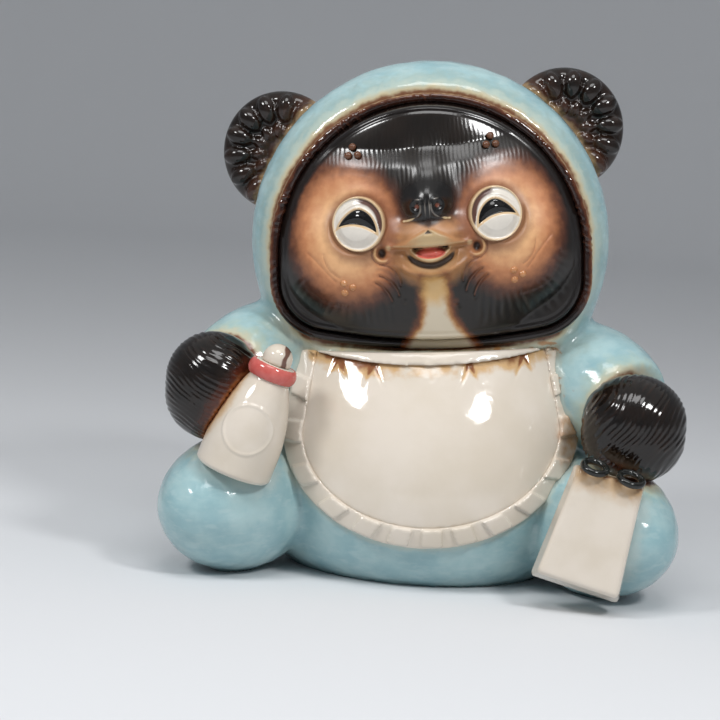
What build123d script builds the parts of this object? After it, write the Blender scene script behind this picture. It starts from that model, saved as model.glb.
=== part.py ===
from build123d import *
import os
from math import atan2, cos, pi, radians, sin, sqrt

os.makedirs("parts", exist_ok=True)

# A seated tanuki in a hooded suit: a hollow cast ceramic figure, luted together and glazed.
# Millimetres; +Z up from the flat base, the figure faces -Y, its right hand is at -X.

# Shells and seams
WALL = 6.0
SEAM = 0.2

# Body: a pear-shaped casting, given by its outline at five heights
FOOT_HALF_WIDTH = 60.0
FOOT_HALF_DEPTH = 57.0
HEM_HEIGHT = 9.0
HEM_HALF_WIDTH = 71.0
HEM_HALF_DEPTH = 68.0
BELLY_HEIGHT = 42.0
BELLY_HALF_WIDTH = 80.0
BELLY_HALF_DEPTH = 77.0
CHEST_HEIGHT = 84.0
CHEST_HALF_WIDTH = 77.0
CHEST_HALF_DEPTH = 64.0
NECK_HEIGHT = 124.0
NECK_HALF_WIDTH = 62.0
NECK_HALF_DEPTH = 44.0
POUR_HOLE_RADIUS = 13.0
POUR_HOLE_BACK = 24.0
VENT_RADIUS = 4.0

# Legs: egg-shaped castings splayed to the front
LEG_X = 81.0
LEG_Y = -45.0
LEG_Z = 30.0
LEG_HALF_LENGTH = 46.0
LEG_RADIUS = 31.0
LEG_SPLAY = 30.0

# Sleeves and paws
SLEEVE_X = 76.0
SLEEVE_Y = -22.0
SLEEVE_Z = 91.0
SLEEVE_HALF_LENGTH = 50.0
SLEEVE_RADIUS = 26.5
ARM_OUT = 36.0
ARM_FORWARD = 46.0
ARM_DOWN = 18.0
WRIST_REACH = 25.0
PAW_X = 94.0
PAW_Y = -57.0
RIGHT_PAW_Z = 83.0
LEFT_PAW_Z = 77.0
PAW_RADIUS = 20.8
PAW_HALF_LENGTH = 24.0

# Head: a round hood, tilted to one side, with an arched face opening
HEAD_X = -3.0
HEAD_Y = -4.0
HEAD_Z = 151.0
HEAD_TILT = 8.5
HOOD_RADIUS = 81.0
HOOD_SIDE = 14.0
HOOD_FRONT = 38.0
HOOD_EDGE = 11.0
HEM_TURN = 4.0
NECK_DROP = 47.2
FACE_HALF_WIDTH = 67.0
FACE_TOP = 62.0
FACE_SIDE = 16.0
FACE_CORNER = 22.0
FACE_DROP = 26.3
FACE_RISE = 8.0
FACE_FRONT = 64.0
FACE_DOME = 96.0
FACE_BACK = 24.0
CHEEK_X = 35.0
CHEEK_DROP = 10.0
CHEEK_RISE = 4.0
CHEEK_RADIUS = 36.0
TRIM_WIDTH = 4.4
TRIM_HEIGHT = 4.0
TRIM_ROUND = 1.9

# Face sprigs, in the head's own tilted frame
EYE_X = 29.0
EYE_Z = 12.3
EYE_RADIUS = 11.8
EYE_SOLE = 3.0
EYE_RIM_WIDTH = 2.6
EYE_RIM_HEIGHT = 2.2
EYE_DOME = 5.4
PUPIL_HALF_WIDTH = 8.2
PUPIL_FLOOR = 1.4
PUPIL_DROP = 1.2
PUPIL_TOP = 6.4
LID_TOP = 2.0
SPRIG_X = 1.3
MUZZLE_Z = 10.0
MUZZLE_DEPTH = 63.0
MUZZLE_HALF_WIDTH = 20.5
MUZZLE_RADIUS = 10.5
NOSE_Z = 20.0
NOSE_DEPTH = 74.0
NOSE_HALF_WIDTH = 9.6
NOSE_RADIUS = 7.5
NOSTRIL_SPREAD = 4.6
NOSTRIL_RADIUS = 1.6
JAW_Z = -7.0
JAW_DEPTH = 62.0
JAW_HALF_WIDTH = 16.0
JAW_RADIUS = 6.8
TONGUE_DEPTH = 68.0
TONGUE_HALF_WIDTH = 6.0
TONGUE_RADIUS = 2.6
PELLET_RADIUS = 1.7
PELLET_RING = 2.4
BROW_PELLET_X = 30.0
BROW_PELLET_Z = 43.0
CHEEK_PELLET_X = 37.0
CHEEK_PELLET_Z = -15.0

# Ears: dished discs with a scalloped border
EAR_X = 65.0
EAR_Z = 45.0
EAR_DEPTH = -9.0
EAR_TURN = 10.0
EAR_RADIUS = 28.0
EAR_BACK = 9.0
EAR_RIM = 6.0
EAR_RIM_WIDTH = 4.0
EAR_DISH = 3.0
SCALLOPS = 14
SCALLOP_RING = 20.5
SCALLOP_RADIUS = 4.3
RIBS = 12
RIB_RING = 10.5
RIB_RADIUS = 2.6

# Bib, its pleated frill and its neckband, laid on the belly
BIB_X = 3.5
BIB_Z = 70.0
BIB_TILT = 4.5
BIB_HALF_WIDTH = 57.0
BIB_DROP = 40.0
BIB_TOP_HALF_WIDTH = 50.0
BIB_TOP = 38.0
BIB_THICKNESS = 2.4
FRILL_WIDTH = 9.0
FRILL_THICKNESS = 3.0
PLEAT_RISE = 1.6
PLEATS = 20
PLEAT_WIDTH = 8.5
PLEAT_INSET = 0.7
COLLAR_WIDTH = 5.5
COLLAR_RISE = 2.5

# Flask in the right hand
FLASK_X = -82.0
FLASK_Y = -72.0
FLASK_Z = 48.0
FLASK_LEAN = 18.5
FLASK_RADIUS = 17.0
FLASK_BELLY = 10.0
FLASK_SHOULDER = 44.0
FLASK_NECK_RADIUS = 8.8
FLASK_FOOT_CHAMFER = 1.5
CORD_RADIUS = 11.0
CORD_EDGE = 0.8
CORD_HEIGHT = 7.0
STOPPER_RADIUS = 6.6
STOPPER_HEIGHT = 9.0
STOPPER_SIDE = 2.5

# Ledger in the left hand
LEDGER_X = 75.5
LEDGER_Y = -79.0
LEDGER_Z = 34.0
LEDGER_LEAN = 14.0
LEDGER_PITCH = 12.0
LEDGER_TOP_WIDTH = 32.0
LEDGER_BOTTOM_WIDTH = 40.0
LEDGER_HEIGHT = 52.0
LEDGER_THICKNESS = 14.0
LEDGER_DRAFT = 8.0
LEDGER_ROUND = 2.0
LOOP_SPREAD = 8.0
LOOP_RADIUS = 5.0
LOOP_WIRE = 1.1
LOOP_TILT = 58.0

# Tail at the back
TAIL_X = 26.0
TAIL_Y = 72.0
TAIL_Z = 34.0
TAIL_RADIUS = 17.0
TAIL_HALF_LENGTH = 30.0
TAIL_LEAN = 28.0

SIDES = ((-1, "right"), (1, "left"))


def ellipse_outline(half_width, half_height):
    """A closed oval whose seam always lies on the local X axis."""
    EllipticalCenterArc((0, 0), half_width, half_height, start_angle=0, arc_size=180)
    EllipticalCenterArc((0, 0), half_width, half_height, start_angle=180, arc_size=180)


def egg(plane, half_length, radius):
    """An egg of round arcs whose long axis is the plane's local X."""
    end = radius * (radius / half_length) ** 1.2
    if abs(end - radius) < 0.01 * radius:
        end = 0.99 * radius
    side = ((half_length - end) ** 2 + radius**2 - end**2) / (2 * (radius - end))
    slant = atan2(side - radius, half_length - end)
    if side < end:
        slant = atan2(radius - side, end - half_length)
    touch = Vector(half_length - end + end * cos(slant), end * sin(slant))
    crown = Vector(half_length - end + end * cos(slant / 2), end * sin(slant / 2))
    with BuildPart() as form:
        with BuildSketch(plane):
            with BuildLine():
                ThreePointArc((half_length, 0), crown, touch)
                ThreePointArc(touch, (0, radius), (-touch.X, touch.Y))
                ThreePointArc((-touch.X, touch.Y), (-crown.X, crown.Y), (-half_length, 0))
                Line((-half_length, 0), (half_length, 0))
            make_face()
        revolve(axis=Axis(plane.origin, plane.x_dir))
    return form.part


def capsule(plane, half_length, radius):
    """A round-ended barrel whose long axis is the plane's local X."""
    straight = half_length - radius
    with BuildPart() as form:
        with BuildSketch(plane):
            with BuildLine():
                CenterArc((straight, 0), radius, start_angle=0, arc_size=90)
                Line((straight, radius), (-straight, radius))
                CenterArc((-straight, 0), radius, start_angle=90, arc_size=90)
                Line((-half_length, 0), (half_length, 0))
            make_face()
        revolve(axis=Axis(plane.origin, plane.x_dir))
    return form.part


def cap(radius, base, top):
    """A round arc from the rim of a dome to its crown on the local Y axis."""
    rise = top - base
    curve = (radius**2 + rise**2) / (2 * abs(rise))
    half = atan2(radius, curve - abs(rise)) / 2
    middle = top - rise / abs(rise) * curve * (1 - cos(half))
    ThreePointArc((radius, base), (curve * sin(half), middle), (0, top))


def front_plane(x, y, z, tilt):
    """A plane facing the viewer: local X to the right, local Y up, local Z to the front."""
    return Plane(origin=(x, y, z), x_dir=(cos(radians(tilt)), 0, sin(radians(tilt))), z_dir=(0, -1, 0))


def body_form(skin):
    """The pear shape of the suit, grown outward by a skin or shrunk by a wall."""
    sections = (
        (0.0, FOOT_HALF_WIDTH, FOOT_HALF_DEPTH),
        (HEM_HEIGHT, HEM_HALF_WIDTH, HEM_HALF_DEPTH),
        (BELLY_HEIGHT, BELLY_HALF_WIDTH, BELLY_HALF_DEPTH),
        (CHEST_HEIGHT, CHEST_HALF_WIDTH, CHEST_HALF_DEPTH),
        (NECK_HEIGHT, NECK_HALF_WIDTH, NECK_HALF_DEPTH),
    )
    with BuildPart() as form:
        for height, half_width, half_depth in sections:
            with BuildSketch(Plane.XY.offset(height)):
                with BuildLine():
                    ellipse_outline(half_width + skin, half_depth + skin)
                make_face()
        loft()
    return form.part


def head_point(x, z, depth):
    """A point given in the head's tilted frame."""
    return head_plane.from_local_coords((x, z, depth))


def dome_depth(x, z):
    """Depth of the face dome at a point of the head's frame."""
    return FACE_FRONT - FACE_DOME + sqrt(FACE_DOME**2 - x**2 - (z - FACE_RISE) ** 2)


def face_depth(x, z):
    """Depth of the face at a point of the head's frame, on the dome or on a cheek."""
    cheek = CHEEK_RADIUS**2 - (abs(x) - CHEEK_X) ** 2 - (z - CHEEK_Z) ** 2
    return max(dome_depth(x, z), CHEEK_DEPTH + sqrt(max(cheek, 0)))


def face_normal(x, z):
    """Outward normal of the face dome, in the head's frame."""
    return Vector(x, z - FACE_RISE, dome_depth(x, z) - FACE_FRONT + FACE_DOME)


def head_facing(x, z, depth, normal):
    """A plane at a point of the head's frame, facing along a normal given in that frame."""
    facing = (head_plane.from_local_coords(normal) - head_plane.origin).normalized()
    across = head_plane.x_dir - facing * head_plane.x_dir.dot(facing)
    return Plane(origin=head_point(x, z, depth), x_dir=across, z_dir=facing)


def face_plane(x, z):
    """A plane lying on the face dome."""
    return head_facing(x, z, dome_depth(x, z), face_normal(x, z))


def cross_plane(x, z, depth):
    """A plane in the head's frame whose local X runs across the face."""
    return Plane(origin=head_point(x, z, depth), x_dir=head_plane.x_dir, z_dir=head_plane.y_dir)


def arm_plane(side):
    """A plane at the middle of a sleeve whose local X runs from the shoulder to the wrist."""
    reach = Vector(side * ARM_OUT, -ARM_FORWARD, -ARM_DOWN).normalized()
    shoulder = (side * SLEEVE_X, SLEEVE_Y, SLEEVE_Z)
    return Plane(origin=shoulder, x_dir=reach, z_dir=reach.cross(Vector(0, 0, 1)))


def leg_plane(side):
    """A plane at the middle of a leg whose local X runs to the toe."""
    toe = (side * sin(radians(LEG_SPLAY)), -cos(radians(LEG_SPLAY)), 0)
    return Plane(origin=(side * LEG_X, LEG_Y, LEG_Z), x_dir=toe, z_dir=(0, 0, 1))


def sleeve_form(side, skin):
    """A sleeve's egg, grown or shrunk by a skin and cut square at the wrist."""
    arm = arm_plane(side)
    wrist = Plane(origin=arm.from_local_coords((WRIST_REACH + skin, 0, 0)), z_dir=arm.x_dir)
    with BuildPart() as form:
        add(egg(arm, SLEEVE_HALF_LENGTH + skin, SLEEVE_RADIUS + skin))
        split(bisect_by=wrist, keep=Keep.BOTTOM)
    return form.part


def bib_outline(grow):
    """The bib's apron shape, grown outward."""
    with BuildSketch() as outline:
        with BuildLine():
            half_width = BIB_HALF_WIDTH + grow
            EllipticalCenterArc((0, 0), half_width, BIB_DROP + grow, start_angle=180, arc_size=180)
            Polyline(
                (BIB_HALF_WIDTH + grow, 0),
                (BIB_TOP_HALF_WIDTH + grow, BIB_TOP),
                (-BIB_TOP_HALF_WIDTH - grow, BIB_TOP),
                (-BIB_HALF_WIDTH - grow, 0),
            )
        make_face()
    return outline.sketch


def face_outline(grow):
    """The arched outline of the face, grown outward: round arch, short sides, round corners, slack hem.

    The arch is round about its own centre, so the sides and the hem turn on it to hang level with the bib.
    """
    half_width = FACE_HALF_WIDTH
    spring = FACE_TOP - half_width
    low = -FACE_SIDE
    inner = half_width - FACE_CORNER
    drop = FACE_DROP
    hem = (inner**2 + drop**2 - FACE_CORNER**2) / (2 * (drop - FACE_CORNER))
    slant = atan2(drop - hem, inner)
    touch = Vector(inner + FACE_CORNER * cos(slant), low + FACE_CORNER * sin(slant))
    bend = Vector(inner + FACE_CORNER * cos(slant / 2), low + FACE_CORNER * sin(slant / 2))
    with BuildSketch() as outline:
        with BuildLine():
            ThreePointArc((half_width, spring), (0, FACE_TOP), (-half_width, spring))
            Line((-half_width, spring), (-half_width, low))
            ThreePointArc((-half_width, low), (-bend.X, bend.Y), (-touch.X, touch.Y))
            ThreePointArc((-touch.X, touch.Y), (0, low - drop), touch)
            ThreePointArc(touch, bend, (half_width, low))
            Line((half_width, low), (half_width, spring))
        make_face()
        if grow:
            offset(amount=grow, kind=Kind.ARC)
    return outline.sketch.rotate(Axis((0, spring, 0), (0, 0, 1)), -HEM_TURN)


CHEEK_Z = FACE_RISE - CHEEK_DROP
CHEEK_DEPTH = dome_depth(CHEEK_X, CHEEK_Z) + CHEEK_RISE - CHEEK_RADIUS
head_plane = front_plane(HEAD_X, HEAD_Y, HEAD_Z, HEAD_TILT)
arch_point = head_point(0, FACE_TOP - FACE_HALF_WIDTH, 0)
hem_plane = front_plane(*arch_point, HEAD_TILT - HEM_TURN)
neck_point = hem_plane.from_local_coords((0, FACE_HALF_WIDTH - FACE_TOP - NECK_DROP, 0))
neck_plane = Plane(origin=neck_point, x_dir=hem_plane.x_dir, z_dir=hem_plane.y_dir)
bib_plane = front_plane(BIB_X, 0, BIB_Z, BIB_TILT)
body_solid = body_form(0)


def hood_profile(wall):
    """Half outline of the hood, shrunk by a wall: round back, short side, edge rolled to the front."""
    radius = HOOD_RADIUS - wall
    front = HOOD_FRONT - wall
    edge = HOOD_EDGE
    roll = (edge**2 + (front - HOOD_SIDE) ** 2) / (2 * edge)
    half = atan2(front - HOOD_SIDE, roll - edge) / 2
    with BuildSketch() as outline:
        with BuildLine():
            ThreePointArc((0, -radius), (radius * sin(pi / 4), -radius * cos(pi / 4)), (radius, 0))
            Line((radius, 0), (radius, HOOD_SIDE))
            ThreePointArc(
                (radius, HOOD_SIDE),
                (radius - roll * (1 - cos(half)), HOOD_SIDE + roll * sin(half)),
                (radius - edge, front),
            )
            Polyline((radius - edge, front), (0, front), (0, -radius))
        make_face()
    return outline.sketch


# Hood blank: a round casting, full at the rim of the face opening and cut flat at the neck
spin_plane = Plane(origin=head_plane.origin, x_dir=head_plane.x_dir, z_dir=-head_plane.y_dir)
head_axis = Axis(head_plane.origin, head_plane.z_dir)
with BuildPart() as hood_blank:
    with BuildSketch(spin_plane):
        add(hood_profile(0))
    revolve(axis=head_axis)
    split(bisect_by=neck_plane, keep=Keep.TOP)
hood_solid = hood_blank.part

# Head shell: the hood made hollow, with the arched opening for the face
with BuildPart() as head_shell:
    add(hood_solid)
    with BuildSketch(spin_plane):
        add(hood_profile(WALL))
    revolve(axis=head_axis, mode=Mode.SUBTRACT)
    with BuildSketch(head_plane):
        add(face_outline(SEAM))
    extrude(amount=HOOD_RADIUS, mode=Mode.SUBTRACT)
head_shell.part.label = "head_shell"
export_step(head_shell.part, "parts/head_shell.step")

# Hood trim: the raised band round the face opening
with BuildPart() as hood_trim:
    with BuildSketch(head_plane.offset(HOOD_FRONT)):
        add(face_outline(TRIM_WIDTH))
        add(face_outline(SEAM), mode=Mode.SUBTRACT)
    extrude(amount=TRIM_HEIGHT)
    fillet(hood_trim.faces().sort_by(head_axis)[-1].edges(), TRIM_ROUND)
hood_trim.part.label = "hood_trim"
export_step(hood_trim.part, "parts/hood_trim.step")

# Body shell: open at the neck, a pour hole in the base and vents behind the hollow limbs
with BuildPart() as body_shell:
    add(body_solid)
    split(bisect_by=neck_plane, keep=Keep.BOTTOM)
    with BuildPart(mode=Mode.PRIVATE) as hollow:
        add(body_form(-WALL))
        split(bisect_by=Plane.XY.offset(WALL), keep=Keep.TOP)
    add(hollow.part, mode=Mode.SUBTRACT)
    with BuildSketch(Plane.XY):
        with Locations((0, POUR_HOLE_BACK)):
            Circle(POUR_HOLE_RADIUS)
    extrude(amount=WALL, mode=Mode.SUBTRACT)
    for side, name in SIDES:
        for limb in (leg_plane(side), arm_plane(side)):
            inward = Vector(-limb.origin.X, -limb.origin.Y, 0)
            with BuildSketch(Plane(origin=limb.origin, z_dir=inward)):
                Circle(VENT_RADIUS)
            extrude(amount=inward.length / 2, mode=Mode.SUBTRACT)
body_shell.part.label = "body_shell"
export_step(body_shell.part, "parts/body_shell.step")

# Legs: hollow eggs, open where they meet the body and flat under the sole
leg_solids = {}
for side, name in SIDES:
    leg_solids[name] = egg(leg_plane(side), LEG_HALF_LENGTH, LEG_RADIUS)
    with BuildPart() as leg:
        add(leg_solids[name])
        add(egg(leg_plane(side), LEG_HALF_LENGTH - WALL, LEG_RADIUS - WALL), mode=Mode.SUBTRACT)
        split(bisect_by=Plane.XY, keep=Keep.TOP)
        add(body_solid, mode=Mode.SUBTRACT)
    leg.part.label = f"{name}_leg"
    export_step(leg.part, f"parts/{name}_leg.step")

# Sleeves: hollow, open at the shoulder and closed at the wrist
sleeve_solids = {}
for side, name in SIDES:
    sleeve_solids[name] = sleeve_form(side, 0)
    with BuildPart() as sleeve:
        add(sleeve_solids[name])
        add(sleeve_form(side, -WALL), mode=Mode.SUBTRACT)
        add(body_solid, mode=Mode.SUBTRACT)
        add(hood_solid, mode=Mode.SUBTRACT)
        add(leg_solids[name], mode=Mode.SUBTRACT)
    sleeve.part.label = f"{name}_sleeve"
    export_step(sleeve.part, f"parts/{name}_sleeve.step")

# Flask: a turned bottle leaning on the right leg, with a cord band and a domed stopper
flask_plane = front_plane(FLASK_X, FLASK_Y, FLASK_Z, -FLASK_LEAN)
flask_axis = Axis(flask_plane.origin, flask_plane.y_dir)
FLASK_LIP = FLASK_SHOULDER + CORD_HEIGHT
with BuildPart() as flask_blank:
    with BuildSketch(flask_plane):
        with BuildLine():
            foot = (FLASK_RADIUS - FLASK_FOOT_CHAMFER, 0)
            Polyline((0, FLASK_LIP), (0, 0), foot, (FLASK_RADIUS, FLASK_FOOT_CHAMFER))
            Line((FLASK_RADIUS, FLASK_FOOT_CHAMFER), (FLASK_RADIUS, FLASK_BELLY))
            TangentArc((FLASK_RADIUS, FLASK_BELLY), (FLASK_NECK_RADIUS, FLASK_SHOULDER), tangent=(0, 1))
            Polyline((FLASK_NECK_RADIUS, FLASK_SHOULDER), (FLASK_NECK_RADIUS, FLASK_LIP), (0, FLASK_LIP))
        make_face()
    revolve(axis=flask_axis)
flask_solid = flask_blank.part
with BuildPart() as flask:
    add(flask_solid)
    add(leg_solids["right"], mode=Mode.SUBTRACT)
    add(body_solid, mode=Mode.SUBTRACT)
flask.part.label = "flask"
export_step(flask.part, "parts/flask.step")

with BuildPart() as flask_cord:
    with BuildSketch(flask_plane):
        with BuildLine():
            low = (FLASK_NECK_RADIUS + CORD_EDGE, FLASK_SHOULDER)
            high = (FLASK_NECK_RADIUS + CORD_EDGE, FLASK_LIP)
            ThreePointArc(low, (CORD_RADIUS, FLASK_SHOULDER + CORD_HEIGHT / 2), high)
            Polyline(high, (FLASK_NECK_RADIUS, FLASK_LIP), (FLASK_NECK_RADIUS, FLASK_SHOULDER), low)
        make_face()
    revolve(axis=flask_axis)
flask_cord.part.label = "flask_cord"
export_step(flask_cord.part, "parts/flask_cord.step")

with BuildPart() as flask_stopper:
    with BuildSketch(flask_plane):
        with BuildLine():
            cap(STOPPER_RADIUS, FLASK_LIP + STOPPER_SIDE, FLASK_LIP + STOPPER_HEIGHT)
            Polyline(
                (0, FLASK_LIP + STOPPER_HEIGHT),
                (0, FLASK_LIP),
                (STOPPER_RADIUS, FLASK_LIP),
                (STOPPER_RADIUS, FLASK_LIP + STOPPER_SIDE),
            )
        make_face()
    revolve(axis=flask_axis)
flask_stopper.part.label = "flask_stopper"
export_step(flask_stopper.part, "parts/flask_stopper.step")

# Ledger: a drafted slab leaning on the left leg, and the two cord loops at its top edge
ledger_plane = front_plane(LEDGER_X, LEDGER_Y, LEDGER_Z, -LEDGER_LEAN).rotated((-LEDGER_PITCH, 0, 0))
with BuildPart() as ledger_blank:
    with BuildSketch(ledger_plane):
        Polygon(
            (-LEDGER_BOTTOM_WIDTH / 2, -LEDGER_HEIGHT / 2),
            (LEDGER_BOTTOM_WIDTH / 2, -LEDGER_HEIGHT / 2),
            (LEDGER_TOP_WIDTH / 2, LEDGER_HEIGHT / 2),
            (-LEDGER_TOP_WIDTH / 2, LEDGER_HEIGHT / 2),
        )
    extrude(amount=LEDGER_THICKNESS, taper=LEDGER_DRAFT)
    back = ledger_blank.faces().sort_by(Axis(ledger_plane.origin, ledger_plane.z_dir))[0]
    fillet([edge for edge in ledger_blank.edges() if edge not in back.edges()], LEDGER_ROUND)
ledger_solid = ledger_blank.part
with BuildPart() as ledger:
    add(ledger_solid)
    add(leg_solids["left"], mode=Mode.SUBTRACT)
    add(body_solid, mode=Mode.SUBTRACT)
    split(bisect_by=Plane.XY, keep=Keep.TOP)
ledger.part.label = "ledger"
export_step(ledger.part, "parts/ledger.step")

# Paws: pressed solid, gripping the flask and the ledger
paw_solids = {}
held = {"right": [flask_solid, flask_cord.part], "left": [ledger_solid]}
for side, name, height in ((-1, "right", RIGHT_PAW_Z), (1, "left", LEFT_PAW_Z)):
    paw_plane = Plane(origin=(side * PAW_X, PAW_Y, height), x_dir=(0, 0, 1), z_dir=(0, -1, 0))
    with BuildPart() as paw:
        add(capsule(paw_plane, PAW_HALF_LENGTH, PAW_RADIUS))
        add([sleeve_solids[name], leg_solids[name], body_solid, *held[name]], mode=Mode.SUBTRACT)
    paw_solids[name] = paw.part
    paw.part.label = f"{name}_paw"
    export_step(paw.part, f"parts/{name}_paw.step")

with BuildPart() as ledger_binding:
    for across in (-LOOP_SPREAD, LOOP_SPREAD):
        eyelet = ledger_plane.from_local_coords((across, LEDGER_HEIGHT / 2, LEDGER_THICKNESS))
        tilt = radians(LOOP_TILT)
        loop_axis = ledger_plane.z_dir * cos(tilt) + ledger_plane.y_dir * sin(tilt)
        loop_side = ledger_plane.x_dir
        with BuildSketch(Plane(origin=eyelet, x_dir=loop_side, z_dir=loop_side.cross(loop_axis))):
            with Locations((LOOP_RADIUS, 0)):
                Circle(LOOP_WIRE)
        revolve(axis=Axis(eyelet, loop_axis))
    add(ledger_solid, mode=Mode.SUBTRACT)
    add(paw_solids["left"], mode=Mode.SUBTRACT)
ledger_binding.part.label = "ledger_binding"
export_step(ledger_binding.part, "parts/ledger_binding.step")

# Face: a pressed, domed plug that fills the opening of the hood, hollow behind
with BuildPart() as face_blank:
    with BuildSketch(head_plane.offset(FACE_BACK)):
        add(face_outline(0))
    extrude(amount=HOOD_RADIUS)
    with BuildPart(mode=Mode.PRIVATE) as dome:
        with Locations(head_point(0, FACE_RISE, FACE_FRONT - FACE_DOME)):
            Sphere(FACE_DOME)
        with Locations([head_point(side * CHEEK_X, CHEEK_Z, CHEEK_DEPTH) for side, _ in SIDES]):
            Sphere(CHEEK_RADIUS)
    add(dome.part, mode=Mode.INTERSECT)
face_solid = face_blank.part
with BuildPart() as face:
    add(face_solid)
    with BuildPart(mode=Mode.PRIVATE) as cavity:
        with BuildSketch(head_plane):
            add(face_outline(-WALL))
        extrude(amount=HOOD_RADIUS)
        with BuildPart(mode=Mode.PRIVATE) as dome:
            with Locations(head_point(0, FACE_RISE, FACE_FRONT - FACE_DOME)):
                Sphere(FACE_DOME - WALL)
        add(dome.part, mode=Mode.INTERSECT)
    add(cavity.part, mode=Mode.SUBTRACT)
face.part.label = "face"
export_step(face.part, "parts/face.step")

# Snout sprigs: muzzle, nose with two nostrils, lower jaw and tongue
muzzle_solid = egg(cross_plane(SPRIG_X, MUZZLE_Z, MUZZLE_DEPTH), MUZZLE_HALF_WIDTH, MUZZLE_RADIUS)
with BuildPart() as muzzle:
    add(muzzle_solid)
    add(face_solid, mode=Mode.SUBTRACT)
muzzle.part.label = "muzzle"
export_step(muzzle.part, "parts/muzzle.step")

with BuildPart() as nose:
    add(egg(cross_plane(SPRIG_X, NOSE_Z, NOSE_DEPTH), NOSE_HALF_WIDTH, NOSE_RADIUS))
    for across in (-NOSTRIL_SPREAD, NOSTRIL_SPREAD):
        with Locations(head_point(SPRIG_X + across, NOSE_Z - 1, NOSE_DEPTH + NOSE_RADIUS * 0.85)):
            Sphere(NOSTRIL_RADIUS, mode=Mode.SUBTRACT)
    add([face_solid, muzzle_solid], mode=Mode.SUBTRACT)
nose.part.label = "nose"
export_step(nose.part, "parts/nose.step")

with BuildPart() as jaw:
    add(egg(cross_plane(SPRIG_X, JAW_Z, JAW_DEPTH), JAW_HALF_WIDTH, JAW_RADIUS))
    add(face_solid, mode=Mode.SUBTRACT)
    add(muzzle.part, mode=Mode.SUBTRACT)
jaw.part.label = "jaw"
export_step(jaw.part, "parts/jaw.step")

with BuildPart() as tongue:
    mouth_z = (JAW_Z + JAW_RADIUS + MUZZLE_Z - MUZZLE_RADIUS) / 2
    add(egg(cross_plane(SPRIG_X, mouth_z, TONGUE_DEPTH), TONGUE_HALF_WIDTH, TONGUE_RADIUS))
    add(face_solid, mode=Mode.SUBTRACT)
    add(muzzle.part, mode=Mode.SUBTRACT)
    add(jaw.part, mode=Mode.SUBTRACT)
tongue.part.label = "tongue"
export_step(tongue.part, "parts/tongue.step")

# Eyes: rimmed discs pressed on the face, each with a half-moon inlay for the pupil
for side, name in SIDES:
    eye_plane = face_plane(side * EYE_X, EYE_Z)
    with BuildPart() as eye_blank:
        with BuildSketch(Plane(origin=eye_plane.origin, x_dir=eye_plane.x_dir, z_dir=-eye_plane.y_dir)):
            with BuildLine():
                inner = EYE_RADIUS - EYE_RIM_WIDTH
                Polyline((0, EYE_DOME), (0, -EYE_SOLE), (EYE_RADIUS, -EYE_SOLE), (EYE_RADIUS, 0))
                bulge = (EYE_RADIUS - 0.3 * EYE_RIM_WIDTH, 0.7 * EYE_RIM_HEIGHT)
                ThreePointArc((EYE_RADIUS, 0), bulge, (inner, EYE_RIM_HEIGHT))
                cap(inner, EYE_RIM_HEIGHT, EYE_DOME)
            make_face()
        revolve(axis=Axis(eye_plane.origin, eye_plane.z_dir))
    with BuildPart() as pupil:
        with BuildSketch(eye_plane.offset(PUPIL_FLOOR)):
            with BuildLine():
                corners = ((-PUPIL_HALF_WIDTH, -PUPIL_DROP), (PUPIL_HALF_WIDTH, -PUPIL_DROP))
                ThreePointArc(corners[0], (0, PUPIL_TOP), corners[1])
                ThreePointArc(corners[1], (0, LID_TOP), corners[0])
            make_face()
        extrude(amount=2 * EYE_DOME)
        add(eye_blank.part, mode=Mode.INTERSECT)
        add([face_solid, muzzle_solid], mode=Mode.SUBTRACT)
    pupil.part.label = f"{name}_pupil"
    export_step(pupil.part, f"parts/{name}_pupil.step")
    with BuildPart() as eye:
        add(eye_blank.part)
        add([pupil.part, face_solid, muzzle_solid], mode=Mode.SUBTRACT)
    eye.part.label = f"{name}_eye"
    export_step(eye.part, f"parts/{name}_eye.step")

# Pellets: clusters of three above each brow and on each cheek
with BuildPart() as face_pellets:
    for side, name in SIDES:
        clusters = ((BROW_PELLET_X, BROW_PELLET_Z, 90), (CHEEK_PELLET_X, CHEEK_PELLET_Z, 0))
        for across, height, first in clusters:
            for turn in (first, first + 120, first + 240):
                x = side * across + PELLET_RING * cos(radians(turn))
                z = height + PELLET_RING * sin(radians(turn))
                with Locations(head_point(x, z, face_depth(x, z))):
                    Sphere(PELLET_RADIUS)
    add(face_solid, mode=Mode.SUBTRACT)
face_pellets.part.label = "face_pellets"
export_step(face_pellets.part, "parts/face_pellets.step")

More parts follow.
